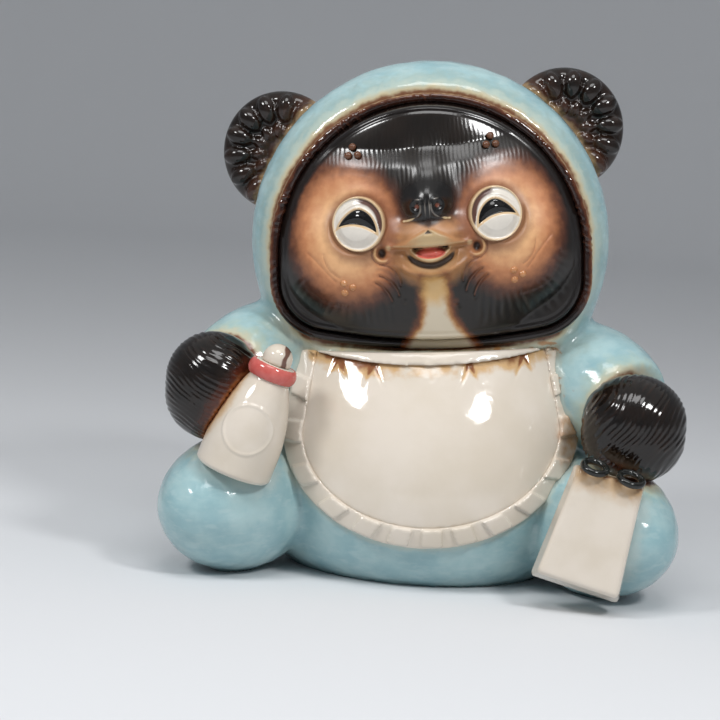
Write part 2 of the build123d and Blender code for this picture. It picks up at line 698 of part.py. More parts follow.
# Ears: dished discs behind the hood's rim, with a border of scallops and a fan of ribs
for side, name in SIDES:
    turn = radians(EAR_TURN)
    ear_plane = head_facing(side * EAR_X, EAR_Z, EAR_DEPTH, (side * sin(turn), 0, cos(turn)))
    with BuildPart() as ear:
        with BuildSketch(Plane(origin=ear_plane.origin, x_dir=ear_plane.x_dir, z_dir=-ear_plane.y_dir)):
            with BuildLine():
                inner = EAR_RADIUS - EAR_RIM_WIDTH
                cap(EAR_RADIUS, 0, -EAR_BACK)
                bulge = (EAR_RADIUS - 0.3 * EAR_RIM_WIDTH, 0.7 * EAR_RIM)
                ThreePointArc((EAR_RADIUS, 0), bulge, (inner, EAR_RIM))
                Polyline((inner, EAR_RIM), (0, EAR_DISH), (0, -EAR_BACK))
            make_face()
        revolve(axis=Axis(ear_plane.origin, ear_plane.z_dir))
        ridges = []
        rings = ((SCALLOPS, SCALLOP_RING, SCALLOP_RADIUS), (RIBS, RIB_RING, RIB_RADIUS))
        for count, ring, radius in rings:
            for step in range(count):
                angle = radians(360 * step / count)
                radial = ear_plane.from_local_coords((cos(angle), sin(angle), 0)) - ear_plane.origin
                level = EAR_DISH + (EAR_RIM - EAR_DISH) * ring / inner
                place = ear_plane.from_local_coords((ring * cos(angle), ring * sin(angle), level))
                ridge_plane = Plane(origin=place, x_dir=radial, z_dir=ear_plane.z_dir)
                ridges.append(egg(ridge_plane, radius * 1.5, radius))
        add(ridges)
        add(hood_solid, mode=Mode.SUBTRACT)
    ear.part.label = f"{name}_ear"
    export_step(ear.part, f"parts/{name}_ear.step")

# Bib: a glazed panel on the belly, its neckband and its pleated frill
limbs = [*leg_solids.values(), *sleeve_solids.values(), *paw_solids.values()]
obstacles = [body_solid, flask_solid, ledger_solid, *limbs]
with BuildPart() as band_zone:
    with BuildSketch(head_plane):
        add(face_outline(TRIM_WIDTH + COLLAR_WIDTH))
    extrude(amount=2 * BELLY_HALF_DEPTH)
    split(bisect_by=neck_plane, keep=Keep.BOTTOM)
with BuildPart() as bib:
    with BuildSketch(bib_plane):
        add(bib_outline(0))
    extrude(amount=2 * BELLY_HALF_DEPTH)
    add(body_form(BIB_THICKNESS), mode=Mode.INTERSECT)
    split(bisect_by=neck_plane, keep=Keep.BOTTOM)
    add([band_zone.part, *obstacles], mode=Mode.SUBTRACT)
bib.part.label = "bib"
export_step(bib.part, "parts/bib.step")

with BuildPart() as bib_collar:
    add(band_zone.part)
    add(body_form(BIB_THICKNESS + COLLAR_RISE), mode=Mode.INTERSECT)
    add(obstacles, mode=Mode.SUBTRACT)
bib_collar.part.label = "bib_collar"
export_step(bib_collar.part, "parts/bib_collar.step")

with BuildPart() as bib_frill:
    with BuildSketch(bib_plane):
        add(bib_outline(FRILL_WIDTH))
        add(bib_outline(0), mode=Mode.SUBTRACT)
    extrude(amount=2 * BELLY_HALF_DEPTH)
    add(body_form(FRILL_THICKNESS), mode=Mode.INTERSECT)
    with BuildPart(mode=Mode.PRIVATE) as pleats:
        with BuildSketch(bib_plane):
            with PolarLocations(BIB_HALF_WIDTH, PLEATS):
                Rectangle(BIB_HALF_WIDTH, PLEAT_WIDTH)
            add(bib_outline(FRILL_WIDTH - PLEAT_INSET), mode=Mode.INTERSECT)
            add(bib_outline(PLEAT_INSET), mode=Mode.SUBTRACT)
        extrude(amount=2 * BELLY_HALF_DEPTH)
        add(body_form(FRILL_THICKNESS + PLEAT_RISE), mode=Mode.INTERSECT)
    add(pleats.part)
    split(bisect_by=neck_plane, keep=Keep.BOTTOM)
    add([band_zone.part, *obstacles], mode=Mode.SUBTRACT)
bib_frill.part.label = "bib_frill"
export_step(bib_frill.part, "parts/bib_frill.step")

# Tail: a plump brush luted low on the back
lean = radians(TAIL_LEAN)
with BuildPart() as tail:
    tail_axis = (sin(lean), 0, cos(lean))
    tail_plane = Plane(origin=(TAIL_X, TAIL_Y, TAIL_Z), x_dir=tail_axis, z_dir=(0, -1, 0))
    add(egg(tail_plane, TAIL_HALF_LENGTH, TAIL_RADIUS))
    add(body_solid, mode=Mode.SUBTRACT)
tail.part.label = "tail"
export_step(tail.part, "parts/tail.step")
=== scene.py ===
from math import cos, pi, radians, sin, sqrt

import bmesh
import bpy
import numpy as np
from mathutils import Matrix, Vector, noise
from mathutils.bvhtree import BVHTree


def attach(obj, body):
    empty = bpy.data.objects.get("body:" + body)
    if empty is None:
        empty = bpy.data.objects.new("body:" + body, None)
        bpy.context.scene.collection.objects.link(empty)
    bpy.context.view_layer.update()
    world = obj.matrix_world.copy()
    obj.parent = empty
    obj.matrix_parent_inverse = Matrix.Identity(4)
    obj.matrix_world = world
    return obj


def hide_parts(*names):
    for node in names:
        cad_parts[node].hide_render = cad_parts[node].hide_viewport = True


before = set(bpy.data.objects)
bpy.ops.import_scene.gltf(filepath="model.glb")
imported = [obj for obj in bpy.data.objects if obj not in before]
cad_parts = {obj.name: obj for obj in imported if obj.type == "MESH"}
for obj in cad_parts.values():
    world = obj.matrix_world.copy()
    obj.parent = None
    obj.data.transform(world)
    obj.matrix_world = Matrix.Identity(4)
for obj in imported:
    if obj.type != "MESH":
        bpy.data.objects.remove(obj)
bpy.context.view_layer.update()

# Suit: body, two legs, two sleeves and a hood, slip cast in pale earthenware and luted to each other
# while leather hard. The joints were sponged to soft hollows before one turquoise glaze ran over all six.
# Sizes are in mm. Places on the head are across, up and out in its own tilted frame.
MM = 0.001
SUIT_NODES = ("body_shell", "right_leg", "left_leg", "right_sleeve", "left_sleeve", "head_shell")
SKIN_GRID = 1.5
LUTING_ROUNDS = 14
BASE_HEIGHT = 0.8
DIMPLE_SIZE = 6.0
DIMPLE_DEPTH = 0.28
SPECK_SIZE = 3.2
SPECK_REACH = 16.0
SPECK_LOWEST = -80.0
HEAD_PLACE = np.array((-3.0, -4.0, 151.0))
HEAD_TILT = radians(8.5)
HEAD_ACROSS = np.array((cos(HEAD_TILT), 0.0, sin(HEAD_TILT)))
HEAD_UP = np.array((-sin(HEAD_TILT), 0.0, cos(HEAD_TILT)))
HEM_TURN = radians(4.0)
FACE_HALF_WIDTH = 67.0
ARCH_UP = -5.0
CORNER_ACROSS = 45.0
CORNER_UP = -16.0
CORNER_RADIUS = 22.0
HEM_DROP = 26.3
HEM_RADIUS = (CORNER_ACROSS**2 + HEM_DROP**2 - CORNER_RADIUS**2) / (2 * (HEM_DROP - CORNER_RADIUS))
HEM_CENTRE = CORNER_UP - HEM_DROP + HEM_RADIUS
OPENING_DEPTH = 30.0
OPENING_MARGIN = -0.8


def cad_copy(*nodes):
    """One bmesh of the CAD nodes' surfaces, their loose facets joined."""
    copy = bmesh.new()
    for node in nodes:
        copy.from_mesh(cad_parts[node].data)
    bmesh.ops.remove_doubles(copy, verts=copy.verts, dist=0.001 * MM)
    return copy


def to_piece(name, shape):
    """Turns a finished bmesh into a shown object with smooth shading."""
    mesh = bpy.data.meshes.new(name)
    shape.to_mesh(mesh)
    shape.free()
    mesh.shade_smooth()
    piece = bpy.data.objects.new(name, mesh)
    bpy.context.collection.objects.link(piece)
    return piece


def as_clay(piece, grid, rounds):
    """Rebuilds a piece on an even grid, like one lump of clay, then sponges its edges."""
    if grid:
        lump = piece.modifiers.new("clay", "REMESH")
        lump.mode = "VOXEL"
        lump.voxel_size = grid * MM
    if rounds:
        sponge = piece.modifiers.new("sponge", "SMOOTH")
        sponge.factor = 0.5
        sponge.iterations = rounds
    graph = bpy.context.evaluated_depsgraph_get()
    mesh = bpy.data.meshes.new_from_object(piece.evaluated_get(graph))
    piece.modifiers.clear()
    piece.data = mesh
    mesh.shade_smooth()


def points_of(piece):
    """The piece's points as an array in mm."""
    flat = np.empty(len(piece.data.vertices) * 3)
    piece.data.vertices.foreach_get("co", flat)
    return flat.reshape(-1, 3) / MM


def normals_of(piece):
    """The outward direction at each point of the piece."""
    flat = np.empty(len(piece.data.vertices) * 3)
    piece.data.vertex_normals.foreach_get("vector", flat)
    return flat.reshape(-1, 3)


def move_points(piece, points):
    """Puts the piece's points at new places given in mm."""
    piece.data.vertices.foreach_set("co", (points * MM).ravel())
    piece.data.update()


def brush(piece, name, values):
    """Keeps one value per point for the glaze to read."""
    layer = piece.data.attributes.new(name, "FLOAT", "POINT")
    layer.data.foreach_set("value", np.asarray(values, dtype=np.float32))


def gap_to(points, *nodes):
    """Distance in mm from each point to the nearest surface of the CAD nodes."""
    shape = cad_copy(*nodes)
    tree = BVHTree.FromBMesh(shape)
    shape.free()
    return np.array([tree.find_nearest(Vector(point) * MM)[3] for point in points]) / MM


def ripple(points, size):
    """Soft noise between -1 and 1 at each point, its waves about the given size in mm."""
    return np.array([noise.noise(Vector(point)) for point in points / size])


def in_head(points):
    """Across, up and out in the head's tilted frame, in mm."""
    reach = points - HEAD_PLACE
    return reach @ HEAD_ACROSS, reach @ HEAD_UP, -reach[:, 1]


def in_opening(across, up):
    """Across and up in the face opening's own frame, whose hem hangs level while the head is tilted."""
    rise = up - ARCH_UP
    level = across * cos(HEM_TURN) - rise * sin(HEM_TURN)
    return level, across * sin(HEM_TURN) + rise * cos(HEM_TURN) + ARCH_UP


def face_margin(across, up):
    """How far inside the arched opening of the face a place of the head's frame lies, in mm."""
    level, rise = in_opening(across, up)
    reach = np.abs(level)
    arch = FACE_HALF_WIDTH - np.hypot(reach, np.maximum(rise - ARCH_UP, 0))
    hem = HEM_RADIUS - np.hypot(reach, rise - HEM_CENTRE)
    past = reach - CORNER_ACROSS
    under = CORNER_UP - rise
    turning = (past > 0) & (under > 0) & (under * CORNER_ACROSS < past * (HEM_RADIUS - HEM_DROP))
    return np.where(turning, CORNER_RADIUS - np.hypot(past, under), np.minimum(arch, hem))


def split_skin(piece, owners, names):
    """Cuts one skin into named pieces by the owner of each face, with no break in its shading."""
    flow = piece.data.attributes.new("flow", "FLOAT_VECTOR", "POINT")
    flow.data.foreach_set("vector", normals_of(piece).ravel().astype(np.float32))
    parts = []
    for index, name in enumerate(names):
        shape = bmesh.new()
        shape.from_mesh(piece.data)
        shape.faces.ensure_lookup_table()
        others = [face for face in shape.faces if owners[face.index] != index]
        bmesh.ops.delete(shape, geom=others, context="FACES")
        part = to_piece(name, shape)
        flow = part.data.attributes["flow"]
        flat = np.empty(len(part.data.vertices) * 3, dtype=np.float32)
        flow.data.foreach_get("vector", flat)
        part.data.attributes.remove(flow)
        part.data.normals_split_custom_set_from_vertices(flat.reshape(-1, 3).tolist())
        parts.append(part)
    bpy.data.objects.remove(piece)
    return parts


casting = bmesh.new()
skins = []
for node in SUIT_NODES:
    blank = cad_copy(node)
    hull = bmesh.ops.convex_hull(blank, input=blank.verts)["geom"]
    kept = {face for face in hull if isinstance(face, bmesh.types.BMFace)}
    bmesh.ops.delete(blank, geom=[face for face in blank.faces if face not in kept], context="FACES")
    bmesh.ops.delete(blank, geom=[vert for vert in blank.verts if not vert.link_faces], context="VERTS")
    skins.append(BVHTree.FromBMesh(blank))
    carried = bpy.data.meshes.new(node)
    blank.to_mesh(carried)
    blank.free()
    casting.from_mesh(carried)
    bpy.data.meshes.remove(carried)
suit = to_piece("suit", casting)
as_clay(suit, SKIN_GRID, 0)
cast = points_of(suit)
as_clay(suit, 0, LUTING_ROUNDS)
luted = points_of(suit)
outward = normals_of(suit)
# How far luting sank each point, read by the glaze for pooled colour and painted shade in the hollows.
pooled_and_shaded_hollow = ((luted - cast) * outward).sum(axis=1)
luted += outward * (DIMPLE_DEPTH * ripple(luted, DIMPLE_SIZE))[:, None]
luted[:, 2] = np.where(cast[:, 2] < BASE_HEIGHT, 0, np.maximum(luted[:, 2], 0))
move_points(suit, luted)
across, up, out = in_head(luted)
bib_gap = gap_to(luted, "bib_frill", "bib_collar")
speck = ripple(luted, SPECK_SIZE) - np.clip(bib_gap / SPECK_REACH, 0, 1)
speck -= np.where(up < SPECK_LOWEST, 1, 0)
brush(suit, "pooled_and_shaded_hollow", pooled_and_shaded_hollow)
brush(suit, "trim", gap_to(luted, "hood_trim"))
brush(suit, "paw", gap_to(luted, "right_paw", "left_paw"))
brush(suit, "bib", bib_gap)
brush(suit, "neckband", gap_to(luted, "bib_collar"))
brush(suit, "ear", gap_to(luted, "right_ear", "left_ear"))
brush(suit, "held", gap_to(luted, "flask", "ledger"))
brush(suit, "speck", np.where(luted[:, 0] > 0, speck, -1))
shape = bmesh.new()
shape.from_mesh(suit.data)
shape.verts.ensure_lookup_table()
behind = np.flatnonzero((out > OPENING_DEPTH) & (face_margin(across, up) > OPENING_MARGIN))
bmesh.ops.delete(shape, geom=[shape.verts[i] for i in behind], context="VERTS")
shape.to_mesh(suit.data)
shape.free()
owners = []
for face in suit.data.polygons:
    owners.append(int(np.argmin([skin.find_nearest(face.center)[3] for skin in skins])))
suit_pieces = split_skin(suit, owners, [f"{node}_skin" for node in SUIT_NODES])
GLAZE_IOR = 1.52
GRAIN_SIZE = 4.0


def linear(code):
    """An sRGB hex value as linear red, green and blue with a full alpha."""
    parts = [int(code[i:i + 2], 16) / 255 for i in (1, 3, 5)]
    return tuple(c / 12.92 if c <= 0.04045 else ((c + 0.055) / 1.055) ** 2.4 for c in parts) + (1.0,)


def add_node(tree, kind, inputs, **settings):
    """Adds one shader node with its settings, values and links."""
    made = tree.nodes.new(kind)
    for key, value in settings.items():
        setattr(made, key, value)
    for key, value in inputs.items():
        if isinstance(value, bpy.types.NodeSocket):
            tree.links.new(value, made.inputs[key])
        else:
            made.inputs[key].default_value = value
    return made


def fired_glaze(name, ground, coats=(), cloud=18.0, gloss=0.12, pits=(1.8, 0.03), streaks=None, dull=None):
    """A glaze melted on to clay: a ground that drifts between two colours, then each coat over it.

    A coat is the brushed value it follows, where it starts and is full, its colour, how ragged its edge
    is in the same units, and how much it covers. Clouds, pits and streaks are given in mm; the pits are
    coarser than real pinholes, so that they show. A dull part is the brushed value it follows, where it
    starts and is full, and its roughness.
    """
    material = bpy.data.materials.new(name)
    material.use_nodes = True
    tree = material.node_tree
    tree.nodes.clear()
    soft = {"interpolation_type": "SMOOTHSTEP"}
    place = add_node(tree, "ShaderNodeTexCoord", {}).outputs["Object"]
    drift = add_node(tree, "ShaderNodeTexNoise", {"Vector": place, "Scale": 1000 / cloud, "Detail": 5.0})
    drift = add_node(tree, "ShaderNodeMapRange", {0: drift.outputs[0], 1: 0.32, 2: 0.68}, **soft)
    pair = {0: drift.outputs[0], 6: linear(ground[0]), 7: linear(ground[1])}
    colour = add_node(tree, "ShaderNodeMix", pair, data_type="RGBA").outputs[2]
    if streaks:
        long, short, code, cover = streaks
        laid = {0: place, 1: (1000 / long, 1000 / long, 1000 / short)}
        laid = add_node(tree, "ShaderNodeVectorMath", laid, operation="MULTIPLY").outputs[0]
        band = add_node(tree, "ShaderNodeTexNoise", {"Vector": laid, "Scale": 1.0, "Detail": 4.0})
        reach = {0: band.outputs[0], 1: 0.48, 2: 0.7, 3: 0.0, 4: cover}
        share = add_node(tree, "ShaderNodeMapRange", reach, **soft)
        pair = {0: share.outputs[0], 6: colour, 7: linear(code)}
        colour = add_node(tree, "ShaderNodeMix", pair, data_type="RGBA").outputs[2]
    grain = {"Vector": place, "Scale": 1000 / GRAIN_SIZE, "Detail": 3.0}
    grain = add_node(tree, "ShaderNodeTexNoise", grain)
    for brushed, start, full, code, ragged, cover in coats:
        value = add_node(tree, "ShaderNodeAttribute", {}, attribute_name=brushed).outputs["Fac"]
        shake = {0: grain.outputs[0], 1: 4 * ragged, 2: -2 * ragged}
        shake = add_node(tree, "ShaderNodeMath", shake, operation="MULTIPLY_ADD").outputs[0]
        value = add_node(tree, "ShaderNodeMath", {0: value, 1: shake}, operation="ADD").outputs[0]
        reach = {0: value, 1: start, 2: full, 3: 0.0, 4: cover}
        share = add_node(tree, "ShaderNodeMapRange", reach, **soft)
        pair = {0: share.outputs[0], 6: colour, 7: linear(code)}
        colour = add_node(tree, "ShaderNodeMix", pair, data_type="RGBA").outputs[2]
    relief = {"Vector": place, "Scale": 1000 / pits[0], "Detail": 2.0}
    relief = add_node(tree, "ShaderNodeTexNoise", relief)
    relief = add_node(tree, "ShaderNodeBump", {"Distance": pits[1] * MM, "Height": relief.outputs[0]})
    surface = {"Base Color": colour, "Roughness": gloss, "IOR": GLAZE_IOR, "Normal": relief.outputs[0]}
    if dull:
        value = add_node(tree, "ShaderNodeAttribute", {}, attribute_name=dull[0]).outputs["Fac"]
        worn = {0: value, 1: dull[1], 2: dull[2], 3: gloss, 4: dull[3]}
        surface["Roughness"] = add_node(tree, "ShaderNodeMapRange", worn, **soft).outputs[0]
    shader = add_node(tree, "ShaderNodeBsdfPrincipled", surface)
    add_node(tree, "ShaderNodeOutputMaterial", {"Surface": shader.outputs[0]})
    return material


def finish_piece(piece, material, slot, *nodes):
    """Glazes a piece and seats it in the frame in place of its CAD nodes."""
    piece.data.materials.clear()
    piece.data.materials.append(material)
    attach(piece, "root")
    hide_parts(*nodes)


# Turquoise glaze: copper in a clear glaze over pale clay, streaked whitish where it is thin, deeper where
# it pools in the hollows, which also carry painted shade, burnt to cream, rust and dark brown where it met
# the iron glaze of the trim and the paws.
turquoise = fired_glaze(
    "turquoise_glaze",
    ("#A8C5C7", "#91B4BA"),
    (
        # Dark teal in the luted hollows: pooled glaze, and painted shade there.
        ("pooled_and_shaded_hollow", 0.15, 1.3, "#5B8792", 0.1, 0.8),
        ("held", 7.0, 0.5, "#B9C7C4", 1.5, 0.6),
        ("ear", 6.0, 0.5, "#B8B596", 1.5, 0.7),
        ("bib", 4.0, 0.8, "#B7C2B9", 1.0, 0.7),
        ("neckband", 8.0, 3.5, "#D6CBB6", 0.8, 0.95),
        ("trim", 17.0, 6.0, "#93A093", 3.5, 0.5),
        ("trim", 9.0, 4.0, "#B4C0B4", 2.0, 0.75),
        ("trim", 5.0, 1.5, "#C4B48F", 1.0, 0.85),
        ("trim", 2.4, 0.4, "#6E3B20", 0.8, 0.9),
        ("paw", 14.0, 4.0, "#B3BFA9", 3.0, 0.55),
        ("paw", 7.0, 1.5, "#C9BF9F", 1.5, 0.85),
        ("paw", 3.0, 0.5, "#6A321B", 0.9, 0.95),
        ("speck", 0.05, 0.35, "#A9713C", 0.0, 0.75),
    ),
    cloud=15.0,
    gloss=0.13,
    pits=(2.6, 0.09),
    streaks=(7.0, 2.6, "#B4CBCC", 0.35),
)
for piece, node in zip(suit_pieces, SUIT_NODES):
    finish_piece(piece, turquoise, "suit_glaze", node)


# Hood trim: a roll of clay laid round the opening and pinched here and there with a tool, so that it
# shows small uneven bumps. It is luted to the hood and carries the dark iron glaze of the face.
TRIM_GRID = 0.5
CRIMP_PITCH = 3.5
CRIMP_DEPTH = 0.22
CRIMP_SLANT = 0.4
CRIMP_WANDER = 2.5
WANDER_SIZE = 9.0
CRIMP_PATCH = 10.0
CRIMP_EVEN = 0.3
CRIMP_UNEVEN = 1.4
CRIMP_LOWEST = -40.0
CRIMP_FADE = 25.0
THROAT_ACROSS = 1.0
THROAT_UP = np.array((-13.5, -20.0, -30.0, -36.0, -41.0, -47.0))
THROAT_WIDTH = np.array((4.2, 4.9, 5.9, 8.5, 12.5, 15.5))


def along_edge(across, up):
    """Distance in mm along the edge of the opening from its crown, alike on both sides."""
    level, rise = in_opening(across, up)
    arch = FACE_HALF_WIDTH * np.arctan2(np.abs(level), np.maximum(rise - ARCH_UP, 0))
    return arch + np.maximum(ARCH_UP - rise, 0)


def in_throat(across, up):
    """How far inside the bare cream throat a place of the head's frame lies, in mm."""
    width = np.interp(-up, -THROAT_UP, THROAT_WIDTH)
    return np.minimum(width - np.abs(across - THROAT_ACROSS), THROAT_UP[0] - up)


trim = to_piece("crimped_trim", cad_copy("hood_trim"))
as_clay(trim, TRIM_GRID, rounds=3)
rope = points_of(trim)
across, up, out = in_head(rope)
rise = in_opening(across, up)[1]
along = along_edge(across, up) + CRIMP_SLANT * face_margin(across, up)
along += CRIMP_WANDER * ripple(rope, WANDER_SIZE)
crimp = np.sin(2 * pi * along / CRIMP_PITCH)
crimp *= np.clip(CRIMP_EVEN + CRIMP_UNEVEN * ripple(rope, CRIMP_PATCH), 0, 1)
crimp *= np.clip((rise - CRIMP_LOWEST) / CRIMP_FADE, 0, 1)
rope += normals_of(trim) * (CRIMP_DEPTH * crimp)[:, None]
move_points(trim, rope)
brush(trim, "outer", -face_margin(across, up))
brush(trim, "crest", crimp)
brush(trim, "height", rise)
brush(trim, "throat", in_throat(across, up))
# Iron glaze of the trim: near black where it pooled, rust on the bumps and the outer side, where it is
# thin, and cream where it ran off. It is glassy, so each bump catches its own small light.
iron_trim = fired_glaze(
    "iron_glaze_trim",
    ("#22120E", "#321A12"),
    (
        ("crest", 0.3, 1.0, "#55301F", 0.3, 0.5),
        ("outer", 2.2, 4.2, "#6A3A22", 0.6, 0.75),
        ("outer", 3.6, 4.8, "#C2A87C", 0.5, 0.6),
        ("height", -24.0, -34.0, "#150E0B", 1.0, 0.95),
        ("throat", -4.5, -0.5, "#8A4A20", 1.0, 0.9),
        ("throat", -1.5, 3.0, "#DACDB5", 0.8, 1.0),
    ),
    cloud=9.0,
    gloss=0.08,
)
finish_piece(trim, iron_trim, "trim_glaze", "hood_trim")


# Face: a domed plug pressed in a mould and set into the hood, with full cheeks, a brow ledge, combed fur
# and a snout of sprigs: nose, muzzle, jaw and tongue. Fine lines were cut with a tool before firing.
# A lump, swell or oval is given by its place across and up, half width and height, and any seat and rise.
# Domed plug and its rim
FACE_STEP = 0.5
FACE_REACH = (70.0, 57.0)
FACE_MIDDLE = 8.25
FACE_SKIRT = 1.5
SKIRT_DROP = 2.0
DOME_RADIUS = 96.0
DOME_FRONT = 64.0
DOME_UP = 8.0
EDGE_DEPTH = 38.8
EDGE_SOFT = 2.0
RIM_DEPTH = 40.0
RIM_ROUND = 2.4
GROOVE_MARGIN = 3.4
GROOVE_WIDTH = 0.6
GROOVE_DEPTH = 0.4
# Eye sockets and brow ledge
EYE_ACROSS = 29.2
EYE_UP = 12.2
EYE_SET = 1.0
EYE_RADIUS = 12.4
SOCKET_RISE = 0.6
SOCKET_SLOPE = 1.2
SOCKET_GAP = 0.4
SOCKET_SOFT = 0.6
PUFF_RADIUS = 14.0
PUFF_WIDTH = 2.8
PUFF_RISE = 0.45
BROW_UP = 38.5
BROW_CURVE = 1.5
BROW_SPAN = 28.0
BROW_LEDGE = 1.7
BROW_UPRIGHT = 0.26
LEDGE_HEIGHT = 9.0
LEDGE_REACH = 45.0
# Cheeks, snout and nose
SNOUT_ACROSS = 0.6
LUMP_BURIED = 20.0
SWELL_FULLNESS = 1.3
CHEEK_LUMP = (35.0, -2.0, 36.0, 36.0, 24.8, 36.0)
CHEEK_SOFT = 3.0
TONGUE_SOFT = 0.4
TONGUE_LUMP = (SNOUT_ACROSS, -2.2, 6.6, 2.4, 64.5, 6.5)
BRIDGE_SWELL = (SNOUT_ACROSS, 31.0, 9.5, 14.0, 3.5)
MUZZLE_SWELL = (SNOUT_ACROSS, 4.6, 17.5, 8.0, 9.0)
JAW_SWELL = (SNOUT_ACROSS, -6.5, 14.5, 8.0, 6.5)
NOSE_SWELL = (SNOUT_ACROSS, 20.0, 9.2, 8.8, 7.5)
WING_SWELL = (4.9, 17.6, 3.9, 3.9, 2.4)
WING_LINE = ((2.3, 18.5), (4.0, 14.0), (10.0, 12.2))
NOSTRIL_PLACE = (4.4, 18.2)
NOSTRIL_RADIUS = 1.7
NOSTRIL_DEPTH = 2.6
NOSTRIL_RING = 3.0
NOSTRIL_RIM = 0.55
NOSTRIL_LEAN = 0.8
NOSTRIL_FADE = 3.0
SEPTUM_ACROSS = 0.9
SEPTUM_UP = 17.0
SEPTUM_WIDTH = 0.45
SEPTUM_HEIGHT = 5.0
RIDGE_RISE = 0.7
RIDGE_WIDTH = 0.6
RIDGE_REACH = 7.0
RIDGE_FADE = 3.0
# Lip pads, mouth and chin
ROOF_UP = 8.4
ROOF_SLOPE = 0.46
PAD_HALF_WIDTH = 18.5
PAD_EDGE = 2.0
PAD_FADE = 4.0
PAD_TINT = 11.0
LIP_PAD = 1.5
NOTCH_LOW = 6.2
NOTCH_TOP = 8.3
NOTCH_ACROSS = -0.4
NOTCH_DEPTH = 1.2
NOTCH_EDGE = 0.8
PHILTRUM_SLOPE = 0.5
PHILTRUM_TOP = 14.0
MOUTH_CORNER = (17.6, 0.9)
MOUTH_UP = 0.3
MOUTH_SOFT = 1.2
MOUTH_DEPTH = 1.8
MOUTH_EDGE = 0.7
MOUTH_FADE = 1.5
THROAT_SHADE = 1.3
UPPER_LIP_UP = 1.0
UPPER_LIP_WIDTH = 1.0
UPPER_LIP_REACH = 18.0
UPPER_LIP_FADE = 3.0
LIP_HALF_WIDTH = 9.0
LIP_UP = -4.3
LIP_END_UP = 1.0
LIP_WIDTH = 1.1
LIP_RISE = 2.0
LIP_DROP = 0.9
LIP_PAST = 1.5
LIP_FADE = 2.5
GAP_HALF_WIDTH = 10.8
GAP_UP = -7.7
GAP_END_UP = -2.6
GAP_WIDTH = 1.9
GAP_DEPTH = 2.4
GAP_PAST = 1.0
GAP_FADE = 3.0
CHIN_HALF_WIDTH = 17.0
CHIN_UP = -12.2
CHIN_CURVE = 5.5
CHIN_SPAN = 15.0
CHIN_WIDTH = 1.5
CHIN_RISE = 1.7
CHIN_FADE = 5.0
# Mouth corners, folds, creases and pin heads
BULB = (17.6, 1.0, 2.0)
BULB_RISE = 1.8
CURL = (20.3, -1.1, 3.5)
CURL_WIDTH = 0.8
CURL_RISE = 1.1
CURL_TOWARD = (0.8, -0.6)
CURL_FADE = 3.0
CURL_CREASE = 1.4
DIMPLE_PRESS = 2.2
DIMPLE_ASIDE = 0.2
DIMPLE_STRETCH = 0.8
DIMPLE_RADIUS = 2.0
SMILE_FOLD = ((12.4, -3.4), (11.6, -7.0), (9.3, -10.3))
SMILE_CREASES = (
    ((21.8, -6.0), (15.8, -9.2), (13.6, -15.6)),
    ((22.5, -11.0), (17.5, -14.5), (14.6, -20.2)),
    ((24.5, -14.0), (20.5, -17.5), (18.0, -22.5)),
)
CHEEK_CREASES = (
    ((57.0, -6.0), (52.0, -18.0), (38.0, -23.5)),
    ((53.0, 1.0), (47.5, -5.0), (42.0, -12.0)),
    ((46.0, 0.0), (44.5, -6.0), (40.0, -10.5)),
)
STROKE_STEPS = 24
CREASE_WIDTH = 0.5
CREASE_DEPTH = 0.8
CURL_LINE = 0.8
CHEEK_LINE = 0.65
CREASE_BANK = 0.4
BANK_ASIDE = 1.3
BANK_WIDTH = 0.8
SMILE_WIDTH = 0.7
SMILE_RISE = 0.4
PIN_PLACES = ((-12.4, -23.1), (10.3, -26.9))
PIN_RADIUS = 1.1
PIN_RISE = 0.9
# Sprayed colours, and the cuts between the pieces
RIGHT_TAN = (-35.0, 8.0, 25.0, 31.5)
LEFT_TAN = (35.0, 7.0, 23.5, 29.0)
CHIN_TAN = (SNOUT_ACROSS, -3.5, 19.5, 16.0)
LIP_TAN = (SNOUT_ACROSS, 6.0, 20.0, 9.0)
THROAT_GLOW = (SNOUT_ACROSS, -18.5, 6.5, 8.0)
NOSE_BLACK = (SNOUT_ACROSS, 20.8, 10.5, 8.6)
NOSE_SHINE = (SNOUT_ACROSS, 20.5, 12.0, 9.0)
NOSE_CUT = (SNOUT_ACROSS, 20.0, 9.5, 8.5)
MUZZLE_CUT = (SNOUT_ACROSS, 5.5, 21.0, 11.5)
JAW_CUT = (SNOUT_ACROSS, -5.0, 17.0, 12.0)
SOCKET_STAIN = 12.0
SOCKET_SAG = 0.12
CLEAR_REACH = 20.0
CLEAR_FADE = 6.0
CLEAR_TOP = 24.0
FUR_START = 0.4
FUR_MARGIN = 3.0
FUR_FADE = 4.0
# Combed fur of the brow and the jowls
SHIVER_SIZE = 7.0
BROW_PITCH = 1.8
BROW_COMB = 0.08
BROW_SHIVER = 0.8
BROW_SPREAD = 0.002
SPREAD_UP = 40.0
BROW_LOWEST = 18.0
BROW_FADE = 14.0
BROW_WORN = 0.65
WORN_OVER = 2.0
WORN_FADE = 7.0
JOWL_PLACE = (26.0, 14.0)
JOWL_LINES = 76
JOWL_COMB = 0.14
JOWL_SHIVER = 1.5
JOWL_TOP = 4.0
JOWL_FADE = 14.0
JOWL_INNER = 10.0
JOWL_MARGIN = 4.0
JOWL_SOFT = 8.0
# Soft edges of the colours, and how satin each is
WING_BLACK = 4.0
WING_FADE = 3.0
TONGUE_GAP = 0.3
TONGUE_SATIN = 0.1
NOSE_SATIN = 0.5
FUR_SATIN = 0.55
TAN_OUTSIDE = 2.0
TAN_FADE = 8.0
BROW_SHEEN = 0.6
SHEEN_FADE = 6.0

